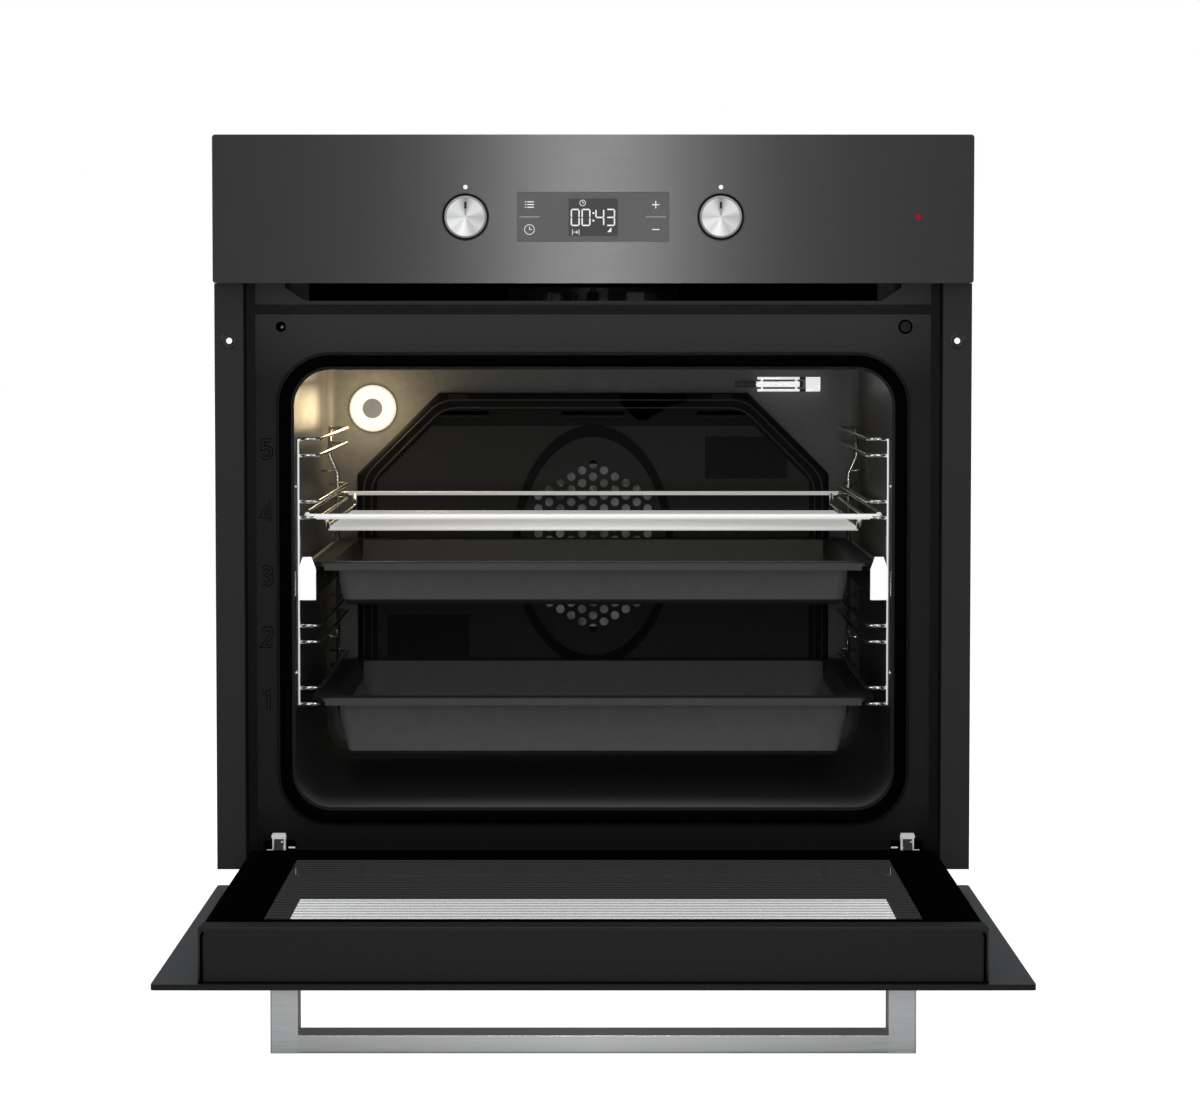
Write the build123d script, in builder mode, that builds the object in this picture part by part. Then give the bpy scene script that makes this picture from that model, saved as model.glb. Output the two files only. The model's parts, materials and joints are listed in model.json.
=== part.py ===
"""Built-in wall oven with its drop-down door open: sheet-metal chassis, enamelled cavity and glass door.

Millimetres. +X is right seen from the front, +Y points to the rear, +Z up.
The origin is the centre of the chassis base, which stands on the cabinet shelf.
"""
import math
import os

from build123d import *

os.makedirs("parts", exist_ok=True)

# Overall sizes
front_width = 594.0
chassis_height = 571.0
chassis_depth = 504.0
chassis_margin = 19.0
front_projection = 43.0
panel_height = 115.5
panel_overhang = 6.5
door_gap = 3.5
door_overhang = 17.0
sheet = 1.0
seat_gap = 0.3
running_gap = 0.05
wire_sides = 6
drum_sides = 32

# Side trims
trim_setback = 12.0
trim_lip_depth = 9.0
trim_width = 22.5
trim_foot = 8.0
cabinet_screw_margin = 11.5
cabinet_screw_radius = 2.4
cabinet_screw_drop = 45.0

# Front frame and door seal
frame_sheet = 1.2
frame_overlap = 8.0
mouth_side_lip = 5.5
mouth_top_lip = 14.0
mouth_floor_lip = 3.0
mouth_radius = 29.0
recess_margin = 14.0
recess_depth = 4.0
seal_width = 9.0
bead_height = 7.0
bead_depth = 0.6
bead_drop = 24.0
outlet_drop = 13.5
outlet_margin = 15.0
outlet_slope = 16.0
outlet_rise = 10.5
frame_screw_margin = 30.7
frame_screw_drop = 34.0
frame_screw_radius = 2.0
frame_screw_head = 3.6
frame_screw_height = 0.8
plug_radius = 4.6

# Cavity
cavity_floor = 42.0
cavity_head = 54.0
cavity_side_space = 35.0
cavity_rear_space = 49.8
cavity_wall = 1.0
cavity_radius = 26.0
cavity_rear_radius = 10.0
cavity_rear_chamfer = 6.0

# Fan baffle and convection fan
baffle_side_gap = 30.0
baffle_floor_gap = 20.0
baffle_head = 39.0
baffle_corner = 73.0
baffle_depth = 27.0
baffle_edge = 5.0
fan_drop = 138.0
hole_margin = 22.2
hole_web = 2.6
hole_columns = 5
hole_rows = 14
oval_width = 145.0
oval_margin = 44.5
oval_band = 7.0
oval_rise = 2.0
border_width = 9.0
border_rise = 1.5
emboss_width = 76.0
emboss_height = 40.0
emboss_rise = 1.5
emboss_radius = 8.0
emboss_upper_inset = 75.0
emboss_upper_drop = 58.0
emboss_lower_inset = 64.0
emboss_lower_rise = 88.0
slot_width = 56.0
slot_height = 4.0
slot_inset = 18.0
slot_drop = 18.0
fan_radius = 74.0
fan_blades = 16
fan_blade_depth = 11.0
fan_plate = 1.2
fan_hub_radius = 9.0
fan_shaft_radius = 4.0
fan_baffle_gap = 4.0
fan_motor_radius = 35.0
fan_motor_length = 56.0

# Heating elements, lamp and thermostat
element_radius = 3.2
element_bend = 22.0
grill_side_gap = 73.0
grill_drop = 10.0
grill_front_margin = 50.0
grill_rear_margin = 85.0
element_terminal_x = 30.0
element_tail = 8.0
lamp_inset = 43.0
lamp_drop = 53.0
lamp_radius = 21.0
lamp_depth = 9.0
lamp_round = 5.0
lamp_hole_radius = 17.5
lamp_housing_depth = 36.0
sensor_inset = 115.0
sensor_length = 62.0
sensor_drop = 31.0
sensor_radius = 2.5
sensor_standoff = 15.0
sensor_rail_gap = 11.0
sensor_rail_radius = 1.2
sensor_plate = 13.0

# Racks, runners, shelf and trays
rack_gap = 7.2
rack_post_radius = 1.8
rack_front_margin = 14.0
rack_rear_margin = 57.0
rung_radius = 1.6
rung_reach = 16.2
rung_floor_gap = 84.3
rung_gap = 13.0
rung_head = 166.8
rung_levels = (1, 2, 4, 5)
deep_level, runner_level, shelf_level = (1, 3, 4)
runner_width = 12.0
runner_height = 20.0
runner_sheet = 1.5
runner_plate = 3.6
runner_plate_width = 13.0
runner_rise = 10.7
runner_nose_height = 34.5
runner_nose_width = 14.0
runner_nose_thickness = 2.0
runner_nose_rise = 8.0
runner_nose_taper = 10.0
shelf_wire = 2.5
shelf_post_gap = 6.8
shelf_corner = 12.0
shelf_support_gap = 6.6
shelf_support_radius = 3.0
grid_wire = 1.5
grid_count = 20
grid_front_margin = 12.0
grid_rear_margin = 61.0
wire_bite = 0.5
tray_post_gap = 9.8
tray_corner = 16.0
tray_rim = 16.0
tray_rim_thickness = 3.5
tray_lip = 3.0
tray_wall = 1.2
tray_draft = 15.0
tray_bottom_radius = 3.5
shallow_depth = 32.0
deep_depth = 46.5

# Control panel and knobs
panel_wall = 1.5
panel_depth = 21.0
panel_corner = 2.5
control_z_from_top = 64.0
knob_x = 99.6
knob_radius = 16.45
knob_proud = 0.8
knob_length = 13.8
knob_edge = 1.0
knob_gap = 1.35
well_wall = 0.8
well_depth = 20.0
shaft_radius = 3.0
shaft_length = 38.0
sleeve_radius = 5.0
sleeve_length = 42.0
switch_size = 44.0
switch_depth = 44.0
display_width = 118.5
display_height = 38.5
display_glass = 2.0
display_gap = 0.2
indicator_margin = 43.6
indicator_radius = 2.0
boss_half = 4.0
boss_margin = 97.0

# Cooling blower and air duct
insulation_thickness = 22.0
duct_margin = 18.0
duct_height = 33.0
duct_wall = 1.0
blower_setback = 122.0
blower_radius = 75.0
blower_inlet_radius = 44.0
blower_wall = 1.5
impeller_radius = 62.0
impeller_height = 24.0
impeller_blades = 16
impeller_gap = 2.0
blower_motor_radius = 28.0
blower_motor_height = 36.0
blower_shaft_radius = 2.5
bracket_width = 16.0
bracket_thickness = 2.0

# Door
outer_glass = 4.0
inner_glass = 4.0
middle_glass = 3.0
middle_glass_level = 18.0
door_body_margin = 31.0
door_body_depth = 37.5
door_cap_depth = 41.8
door_cap_height = 22.0
door_cap_setback = 7.5
door_cap_wall = 2.5
door_cap_round = 3.0
door_cap_margin = 0.5
column_width = 34.0
column_step = 5.0
column_lip = 7.5
column_lip_height = 10.0
column_wall = 2.0
column_start = 44.0
column_ledge = 5.0
rail_height = 22.0
glass_corner = 3.0
pivot_setback = 8.0
pivot_rise = 8.0
hinge_inset = 16.0
hinge_arm_width = 7.0
hinge_cheek = 1.5
hinge_play = 0.4
hinge_pin_radius = 2.0
hinge_eye_radius = 3.6
hinge_case_length = 150.0
hinge_case_depth = 22.0
hinge_tail_z = 17.0
hinge_tail_half = 6.0
hinge_tail_length = 46.0
hinge_tail_lead = 6.0
receiver_wall = 1.5
latch_wall = 1.2
latch_height = 11.5
latch_width = 6.0
latch_pin_radius = 1.4
latch_lead = 7.0
latch_pin_z = 14.0

# Handle
handle_inset = 78.0
handle_post_width = 18.7
handle_depth = 28.0
handle_standoff = 48.0
handle_bar_thickness = 13.0
handle_drop = 29.5
handle_edge = 1.2

# Covers
vent_length = 40.0
vent_width = 4.0
vent_pitch = 10.0
vent_rows = 8
vent_columns = 4
vent_column_pitch = 110.0
flange = 12.0
bulge_half = 62.0
bulge_depth = 20.0
terminal_hole_radius = 3.5
terminal_hole_depth = 2.0
terminal_width = 50.0
terminal_height = 30.0
terminal_depth = 16.0
terminal_inset = 68.0
terminal_drop = 50.0
terminal_screws = 3

# Widths and planes across the front, worked out from the sizes above
chassis_width = front_width - 2 * chassis_margin
half_width = chassis_width / 2
trim_inner_x = front_width / 2 - trim_width
cabinet_screw_x = front_width / 2 - cabinet_screw_margin
frame_screw_x = half_width - frame_screw_margin
indicator_x = front_width / 2 - indicator_margin
boss_x = front_width / 2 - boss_margin
handle_width = front_width - 2 * handle_inset
door_body_width = front_width - 2 * door_body_margin
column_inner_x = door_body_width / 2 - column_width
hinge_x = door_body_width / 2 - hinge_inset
terminal_x = terminal_inset - half_width

# Heights and depths of the front
frame_y = -chassis_depth / 2
rear_y = chassis_depth / 2
panel_y = frame_y - front_projection
trim_y = panel_y + trim_setback
carrier_y = panel_y + panel_depth
panel_top_z = chassis_height + panel_overhang
panel_bottom_z = panel_top_z - panel_height
control_z = panel_top_z - control_z_from_top
door_bottom_z = -door_overhang
door_height = panel_bottom_z - door_gap - door_bottom_z
pivot_y = panel_y + pivot_setback
pivot_z = door_bottom_z + pivot_rise

# Cavity and its mouth
seal_y = frame_y + recess_depth
cavity_half = half_width - cavity_side_space
cavity_width = 2 * cavity_half
cavity_top = panel_bottom_z - cavity_head
cavity_height = cavity_top - cavity_floor
cavity_z = cavity_floor + cavity_height / 2
cavity_front_y = seal_y + frame_sheet
cavity_rear_y = rear_y - cavity_rear_space
cavity_depth = cavity_rear_y - cavity_front_y
wall_back_y = cavity_rear_y + cavity_wall
mouth_width = cavity_width - 2 * mouth_side_lip
mouth_bottom = cavity_floor + mouth_floor_lip
mouth_height = cavity_top - mouth_top_lip - mouth_bottom
mouth_z = mouth_bottom + mouth_height / 2
recess_width = mouth_width + 2 * recess_margin
recess_height = mouth_height + 2 * recess_margin
recess_radius = mouth_radius + recess_margin

# Baffle, lamp, thermostat and elements in the cavity
baffle_width = cavity_width - 2 * baffle_side_gap
baffle_bottom = cavity_floor + baffle_floor_gap
baffle_top = cavity_top - baffle_head
baffle_y = cavity_rear_y - baffle_depth
fan_z = baffle_top - fan_drop
oval_height = baffle_top - baffle_bottom - 2 * oval_margin
hole_pitch = (oval_height - 2 * oval_band - 2 * hole_margin) / hole_rows
hole_radius = (hole_pitch - hole_web) / 2
slot_spacing = baffle_width / 2 - baffle_corner - slot_inset
lamp_x = lamp_inset - cavity_half
lamp_z = cavity_top - lamp_drop
sensor_x0 = cavity_half - sensor_inset
sensor_z = cavity_top - sensor_drop
grill_half_width = cavity_half - grill_side_gap

# Racks, shelf and trays
rack_post_x = cavity_half - rack_gap
rack_front_y = cavity_front_y + rack_front_margin
rack_rear_y = cavity_rear_y - rack_rear_margin
rung_inner_x = rack_post_x - rung_reach
rung_first = cavity_floor + rung_floor_gap
rung_pitch = (cavity_height - rung_head) / (max(rung_levels) - min(rung_levels))
shelf_half_width = rack_post_x - shelf_post_gap
shelf_support_x = rung_inner_x - shelf_support_gap
tray_half_width = rack_post_x - tray_post_gap

# Air duct and blower over the insulation
insulation_top = cavity_top + cavity_wall + seat_gap + insulation_thickness
duct_top = insulation_top + duct_height
blower_y = rear_y - blower_setback


def save(builder, label):
    """Name a finished piece and write it."""
    builder.part.label = label
    export_step(builder.part, f"parts/{label}.step")


def block(x_ends, y_ends, z_ends, mode=Mode.ADD):
    """Box between pairs of ends, given in either order."""
    ends = [sorted(pair) for pair in (x_ends, y_ends, z_ends)]
    with Locations(tuple((low + high) / 2 for low, high in ends)):
        Box(*(high - low for low, high in ends), mode=mode)


def rod(start, end, radius, mode=Mode.ADD):
    """Round bar from one point to another."""
    axis = Vector(*end) - Vector(*start)
    with Locations(Plane(origin=start, z_dir=axis)):
        Cylinder(radius, axis.length, align=(Align.CENTER, Align.CENTER, Align.MIN), mode=mode)


def drum(start, end, radius, sides=drum_sides, mode=Mode.ADD):
    """Round piece with flat sides, which keeps its faces few, from one point to another."""
    axis = Vector(*end) - Vector(*start)
    with BuildSketch(Plane(origin=start, z_dir=axis)) as profile:
        RegularPolygon(radius, sides)
    extrude(profile.sketch, amount=axis.length, mode=mode)


def wire(start, end, radius):
    """Straight six-sided wire from one point to another."""
    drum(start, end, radius, wire_sides)


def bent_wire(points, radius, bend, close=False):
    """Six-sided wire along straight runs joined by arcs."""
    with BuildLine() as path:
        FilletPolyline(*points, radius=bend, close=close)
    with BuildSketch(Plane(origin=path.line @ 0, z_dir=path.line % 0)) as profile:
        RegularPolygon(radius, wire_sides)
    sweep(profile.sketch, path=path.line)


def facing(y):
    """Plane across the oven at y, seen from the front: its axes are X and Z."""
    return Plane(origin=(0, y, 0), x_dir=(1, 0, 0), z_dir=(0, -1, 0))


def outline(*points):
    """Straight-sided face through the points."""
    Polygon(*points, align=None)


def level_z(level):
    """Height of the lower rung's centre at a rack level."""
    return rung_first + rung_pitch * (level - 1)


def door_y(height):
    """Place along Y, with the door open, of a height on the closed door."""
    return pivot_y + pivot_rise - height


def door_z(depth):
    """Place along Z, with the door open, of a depth behind the closed door's front."""
    return pivot_z - pivot_setback + depth


# Base panel with turned-up sides and air slots clear of its centre
base_half = half_width - sheet
base_front_y = frame_y + frame_sheet
with BuildPart() as base_panel:
    block((-base_half, base_half), (base_front_y, rear_y - sheet), (0, sheet))
    for side in (-1, 1):
        block((side * (base_half - sheet), side * base_half), (base_front_y, rear_y - sheet), (0, flange))
    with BuildSketch():
        with GridLocations(vent_column_pitch, vent_length + vent_pitch, vent_columns, 2):
            Rectangle(vent_length, vent_width)
    extrude(amount=sheet, mode=Mode.SUBTRACT)
save(base_panel, "base_panel")

# Side panels, each with a folded top edge and a row of air slots
panel_fold_z = chassis_height - sheet
with BuildPart() as side_panels:
    for side in (-1, 1):
        block((side * base_half, side * half_width), (frame_y, rear_y - sheet), (0, panel_fold_z))
        block((side * (base_half - flange), side * base_half), (base_front_y, rear_y - sheet),
              (panel_fold_z - sheet, panel_fold_z))
    with BuildSketch(Plane.YZ.offset(-half_width)):
        with Locations((0, panel_fold_z - 3 * flange)):
            with GridLocations(vent_length + vent_pitch, vent_pitch, vent_columns, 2):
                Rectangle(vent_length, vent_width)
    extrude(amount=chassis_width, mode=Mode.SUBTRACT)
save(side_panels, "side_panels")

# Top cover
with BuildPart() as top_cover:
    block((-half_width, half_width), (frame_y, rear_y - sheet), (panel_fold_z, chassis_height))
    with BuildSketch(Plane.XY.offset(panel_fold_z)):
        with Locations((0, blower_y)):
            with GridLocations(vent_length + vent_pitch, vent_pitch, vent_columns, vent_rows):
                Rectangle(vent_length, vent_width)
    extrude(amount=sheet, mode=Mode.SUBTRACT)
save(top_cover, "top_cover")

# Rear cover with a raised box over the fan motor and two fields of air slots
with BuildPart() as rear_cover:
    block((-half_width, half_width), (rear_y - sheet, rear_y), (0, chassis_height))
    block((-bulge_half, bulge_half), (rear_y - sheet, rear_y + bulge_depth),
          (fan_z - bulge_half, fan_z + bulge_half))
    bulge_edges = rear_cover.faces().sort_by(Axis.Y)[-1].edges()
    chamfer(bulge_edges, bulge_depth / 2)
    inner_half = bulge_half - sheet
    block((-inner_half, inner_half), (rear_y - sheet, rear_y + bulge_depth / 2 - sheet),
          (fan_z - inner_half, fan_z + inner_half), mode=Mode.SUBTRACT)
    deep_half = inner_half - bulge_depth / 2
    block((-deep_half, deep_half), (rear_y - sheet, rear_y + bulge_depth - sheet),
          (fan_z - deep_half, fan_z + deep_half), mode=Mode.SUBTRACT)
    with BuildSketch(facing(rear_y)):
        for side in (-1, 1):
            with Locations((side * 2 * bulge_half, fan_z)):
                with GridLocations(vent_length, vent_pitch, 1, vent_rows):
                    Rectangle(vent_length, vent_width)
    extrude(amount=sheet, mode=Mode.SUBTRACT)
save(rear_cover, "rear_cover")

# Terminal block on the rear cover
terminal_z = chassis_height - terminal_drop
with BuildPart() as terminal_block:
    block((terminal_x - terminal_width / 2, terminal_x + terminal_width / 2),
          (rear_y, rear_y + terminal_depth), (terminal_z - terminal_height, terminal_z))
    chamfer(terminal_block.faces().sort_by(Axis.Y)[-1].edges(), sheet)
    with BuildSketch(facing(rear_y + terminal_depth)):
        with Locations((terminal_x, terminal_z - terminal_height / 2)):
            with GridLocations(terminal_width / terminal_screws, 1, terminal_screws, 1):
                RegularPolygon(terminal_hole_radius, 6)
    extrude(amount=-terminal_hole_depth, mode=Mode.SUBTRACT)
save(terminal_block, "terminal_block")

# Front frame: plate with the cavity mouth, a seal recess, the air outlet and the hinge slots
frame_top = panel_bottom_z + frame_overlap
outlet_z = panel_bottom_z - outlet_drop
outlet_half = cavity_half - outlet_margin
recess_face = (recess_width, recess_height, recess_radius)
slot_half = hinge_arm_width / 2 + hinge_play + hinge_cheek
slot_low = hinge_tail_z - hinge_tail_half - hinge_play
slot_high = hinge_tail_z + hinge_tail_half + hinge_play
with BuildPart() as front_frame:
    with BuildSketch(facing(frame_y)):
        with Locations((0, frame_top / 2)):
            Rectangle(2 * base_half, frame_top)
        with Locations((0, mouth_z)):
            RectangleRounded(*recess_face, mode=Mode.SUBTRACT)
        with BuildLine():
            Polyline((-outlet_half - outlet_slope, frame_top),
                     (-outlet_half - outlet_slope, outlet_z + outlet_rise),
                     (-outlet_half, outlet_z), (outlet_half, outlet_z),
                     (outlet_half + outlet_slope, outlet_z + outlet_rise),
                     (outlet_half + outlet_slope, frame_top), close=True)
        make_face(mode=Mode.SUBTRACT)
        for side in (-1, 1):
            with Locations((side * hinge_x, (slot_low + slot_high) / 2)):
                Rectangle(2 * slot_half, slot_high - slot_low, mode=Mode.SUBTRACT)
        with Locations((-frame_screw_x, panel_bottom_z - frame_screw_drop)):
            Circle(frame_screw_radius + running_gap, mode=Mode.SUBTRACT)
    extrude(amount=frame_sheet, dir=(0, 1, 0))
    with BuildSketch(facing(frame_y)):
        with Locations((0, mouth_z)):
            RectangleRounded(recess_width + 2 * frame_sheet, recess_height + 2 * frame_sheet,
                             recess_radius + frame_sheet)
            RectangleRounded(*recess_face, mode=Mode.SUBTRACT)
    extrude(amount=recess_depth + frame_sheet, dir=(0, 1, 0))
    with BuildSketch(facing(seal_y)):
        with Locations((0, mouth_z)):
            RectangleRounded(*recess_face)
            RectangleRounded(mouth_width, mouth_height, mouth_radius, mode=Mode.SUBTRACT)
    extrude(amount=frame_sheet, dir=(0, 1, 0))
    bead_z = panel_bottom_z - bead_drop
    block((-base_half, base_half), (frame_y, frame_y + bead_depth), (bead_z, bead_z + bead_height),
          mode=Mode.SUBTRACT)
save(front_frame, "front_frame")

# Screw and round plug on the front frame
frame_screw_z = panel_bottom_z - frame_screw_drop
with BuildPart() as frame_screw:
    drum((-frame_screw_x, frame_y - frame_screw_height, frame_screw_z), (-frame_screw_x, frame_y, frame_screw_z),
         frame_screw_head)
    rod((-frame_screw_x, frame_y, frame_screw_z), (-frame_screw_x, frame_y + 4 * frame_sheet, frame_screw_z),
        frame_screw_radius)
save(frame_screw, "frame_screw")

with BuildPart() as frame_plug:
    drum((frame_screw_x, frame_y - frame_screw_height, frame_screw_z), (frame_screw_x, frame_y, frame_screw_z),
         plug_radius)
    chamfer(frame_plug.faces().sort_by(Axis.Y)[0].edges(), frame_screw_height / 2)
save(frame_plug, "frame_plug")

# Side trims: front web with the cabinet screw hole, outer lip, inner wall and foot
trim_outer_x = front_width / 2
trim_top = panel_bottom_z
for side, name in ((-1, "left_trim"), (1, "right_trim")):
    with BuildPart() as trim:
        block((side * trim_inner_x, side * trim_outer_x), (trim_y, trim_y + sheet), (0, trim_top))
        block((side * (trim_outer_x - sheet), side * trim_outer_x), (trim_y, trim_y + trim_lip_depth),
              (0, trim_top))
        block((side * trim_inner_x, side * (trim_inner_x + sheet)), (trim_y, frame_y), (0, trim_top))
        block((side * (trim_inner_x + sheet - trim_foot), side * (trim_inner_x + sheet)),
              (frame_y - sheet, frame_y), (0, trim_top))
        screw_x = side * cabinet_screw_x
        screw_z = panel_bottom_z - cabinet_screw_drop
        rod((screw_x, trim_y, screw_z), (screw_x, trim_y + sheet, screw_z), cabinet_screw_radius,
            mode=Mode.SUBTRACT)
    save(trim, name)

# Cavity: one enamelled shell, open at the front
with BuildPart() as cavity_shell:
    with BuildSketch(facing(cavity_front_y)):
        with Locations((0, cavity_z)):
            RectangleRounded(cavity_width + 2 * cavity_wall, cavity_height + 2 * cavity_wall,
                             cavity_radius + cavity_wall)
    extrude(amount=cavity_depth + cavity_wall, dir=(0, 1, 0))
    with BuildSketch(facing(cavity_front_y)):
        with Locations((0, cavity_z)):
            RectangleRounded(cavity_width, cavity_height, cavity_radius)
    extrude(amount=cavity_depth, dir=(0, 1, 0), mode=Mode.SUBTRACT)
    fillet(cavity_shell.faces().filter_by(Axis.Y).sort_by(Axis.Y)[1].edges(), cavity_rear_radius)
    chamfer(cavity_shell.faces().sort_by(Axis.Y)[-1].edges(), cavity_rear_chamfer)
    drum((lamp_x, cavity_rear_y - cavity_wall, lamp_z), (lamp_x, wall_back_y + cavity_wall, lamp_z),
         lamp_hole_radius + running_gap, mode=Mode.SUBTRACT)
    rod((0, cavity_rear_y - cavity_wall, fan_z), (0, wall_back_y + cavity_wall, fan_z),
        fan_shaft_radius + cavity_wall, mode=Mode.SUBTRACT)
    for side in (-1, 1):
        rod((side * element_terminal_x, cavity_rear_y - cavity_wall, cavity_top - grill_drop),
            (side * element_terminal_x, wall_back_y + cavity_wall, cavity_top - grill_drop),
            element_radius + running_gap, mode=Mode.SUBTRACT)
save(cavity_shell, "cavity_shell")

# Door seal, drawn as the closed door would press it
seal_front_y = panel_y + door_body_depth + seat_gap
seal_path_width = recess_width - recess_margin
seal_path_height = recess_height - recess_margin
with BuildPart() as door_seal:
    with BuildSketch(facing(seal_y)):
        with Locations((0, mouth_z)):
            RectangleRounded(seal_path_width + seal_width, seal_path_height + seal_width,
                             recess_radius - (recess_margin - seal_width) / 2)
            RectangleRounded(seal_path_width - seal_width, seal_path_height - seal_width,
                             mouth_radius + (recess_margin - seal_width) / 2, mode=Mode.SUBTRACT)
    extrude(amount=seal_y - seal_front_y)
    chamfer(door_seal.faces().sort_by(Axis.Y)[0].edges(), seal_width / 4)
save(door_seal, "door_seal")

# Fan baffle: folded plate with the suction holes, an oval bead and outlet slots
baffle_half = baffle_width / 2
column_pitch = hole_pitch * math.sqrt(3) / 2
baffle_outline = ((-baffle_half, baffle_bottom), (baffle_half, baffle_bottom),
                  (baffle_half, baffle_top - baffle_corner), (baffle_half - baffle_corner, baffle_top),
                  (baffle_corner - baffle_half, baffle_top), (-baffle_half, baffle_top - baffle_corner))
emboss_upper = (baffle_half - emboss_upper_inset, baffle_top - emboss_upper_drop)
emboss_lower = (emboss_lower_inset - baffle_half, baffle_bottom + emboss_lower_rise)
with BuildPart() as fan_baffle:
    with BuildSketch(facing(cavity_rear_y)):
        outline(*baffle_outline)
    extrude(amount=baffle_depth)
    fillet(fan_baffle.faces().sort_by(Axis.Y)[0].edges(), baffle_edge)
    offset(amount=-sheet, openings=fan_baffle.faces().sort_by(Axis.Y)[-1])
    with BuildSketch(facing(baffle_y)):
        with Locations((0, fan_z)):
            Ellipse(oval_width / 2, oval_height / 2)
            Ellipse(oval_width / 2 - oval_band, oval_height / 2 - oval_band, mode=Mode.SUBTRACT)
    extrude(amount=oval_rise)
    with BuildSketch(facing(baffle_y)):
        outline(*baffle_outline)
        offset(amount=-baffle_edge, mode=Mode.INTERSECT)
        offset(amount=-border_width, mode=Mode.SUBTRACT)
    extrude(amount=border_rise)
    with BuildSketch(facing(baffle_y)):
        with Locations(emboss_upper, emboss_lower):
            RectangleRounded(emboss_width, emboss_height, emboss_radius)
    extrude(amount=emboss_rise)
    with BuildSketch(facing(baffle_y + sheet)):
        for column in range(-hole_columns, hole_columns + 1):
            rows = hole_rows - abs(column)
            with Locations((column * column_pitch, fan_z)):
                with GridLocations(column_pitch, hole_pitch, 1, rows):
                    RegularPolygon(hole_radius, 6)
        with Locations((0, baffle_top - slot_drop)):
            with GridLocations(slot_spacing, slot_height, 3, 1):
                Rectangle(slot_width, slot_height)
    extrude(amount=2 * sheet, mode=Mode.SUBTRACT)
save(fan_baffle, "fan_baffle")

# Convection fan: plate with radial blades, hub and shaft
fan_front_y = baffle_y + sheet + fan_baffle_gap
fan_plate_y = fan_front_y + fan_blade_depth
fan_shaft_end = wall_back_y + fan_motor_length * 0.6
with BuildPart() as convection_fan:
    drum((0, fan_plate_y, fan_z), (0, fan_plate_y + fan_plate, fan_z), fan_radius)
    drum((0, fan_front_y, fan_z), (0, cavity_rear_y - seat_gap, fan_z), fan_hub_radius)
    rod((0, cavity_rear_y - seat_gap, fan_z), (0, fan_shaft_end, fan_z), fan_shaft_radius)
    with BuildSketch(facing(fan_plate_y)):
        with Locations((0, fan_z)):
            with PolarLocations(0.66 * fan_radius, fan_blades):
                Rectangle(0.62 * fan_radius, fan_plate, rotation=25)
    extrude(amount=fan_blade_depth)
save(convection_fan, "convection_fan")

# Convection fan motor on the back of the cavity
with BuildPart() as fan_motor:
    block((-1.3 * fan_motor_radius, 1.3 * fan_motor_radius), (wall_back_y, wall_back_y + bracket_thickness),
          (fan_z - bracket_width, fan_z + bracket_width))
    drum((0, wall_back_y, fan_z), (0, wall_back_y + fan_motor_length, fan_z), fan_motor_radius)
    rod((0, wall_back_y, fan_z), (0, fan_shaft_end + running_gap, fan_z), fan_shaft_radius + running_gap,
        mode=Mode.SUBTRACT)
save(fan_motor, "fan_motor")

# Grill element under the ceiling, hung from two clips
grill_z = cavity_top - grill_drop
grill_front_y = cavity_front_y + grill_front_margin
grill_rear_y = cavity_rear_y - grill_rear_margin
clip_y = (grill_front_y + grill_rear_y) / 2


def element_path(half, front_y, back_y, end_y, z):
    """Points of a heating element: out of the rear, round the front and back."""
    return ((-element_terminal_x, end_y, z), (-element_terminal_x, back_y, z), (-half, back_y, z),
            (-half, front_y, z), (half, front_y, z), (half, back_y, z),
            (element_terminal_x, back_y, z), (element_terminal_x, end_y, z))


with BuildPart() as grill_element:
    bent_wire(element_path(grill_half_width, grill_front_y, grill_rear_y, wall_back_y + element_tail, grill_z),
             element_radius, element_bend)
    for side in (-1, 1):
        block((side * (grill_half_width - element_radius / 2), side * (grill_half_width + element_radius / 2)),
              (clip_y - element_radius, clip_y + element_radius), (grill_z, cavity_top))
save(grill_element, "grill_element")

# Bottom element under the cavity floor
bottom_z = cavity_floor - cavity_wall - seat_gap - element_radius
with BuildPart() as bottom_element:
    bent_wire(element_path(grill_half_width, grill_front_y, grill_rear_y, wall_back_y + element_tail, bottom_z),
             element_radius, element_bend)
save(bottom_element, "bottom_element")

# Oven lamp: glass lens inside, housing behind the rear wall
with BuildPart() as lamp_lens:
    drum((lamp_x, cavity_rear_y - lamp_depth, lamp_z), (lamp_x, cavity_rear_y, lamp_z), lamp_radius)
    chamfer(lamp_lens.faces().sort_by(Axis.Y)[0].edges(), lamp_round)
save(lamp_lens, "lamp_lens")

with BuildPart() as lamp_housing:
    drum((lamp_x, cavity_rear_y, lamp_z), (lamp_x, wall_back_y + lamp_housing_depth, lamp_z), lamp_hole_radius)
    block((lamp_x - lamp_radius, lamp_x + lamp_radius), (wall_back_y, wall_back_y + bracket_thickness),
          (lamp_z - lamp_radius, lamp_z + lamp_radius))
save(lamp_housing, "lamp_housing")

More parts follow.
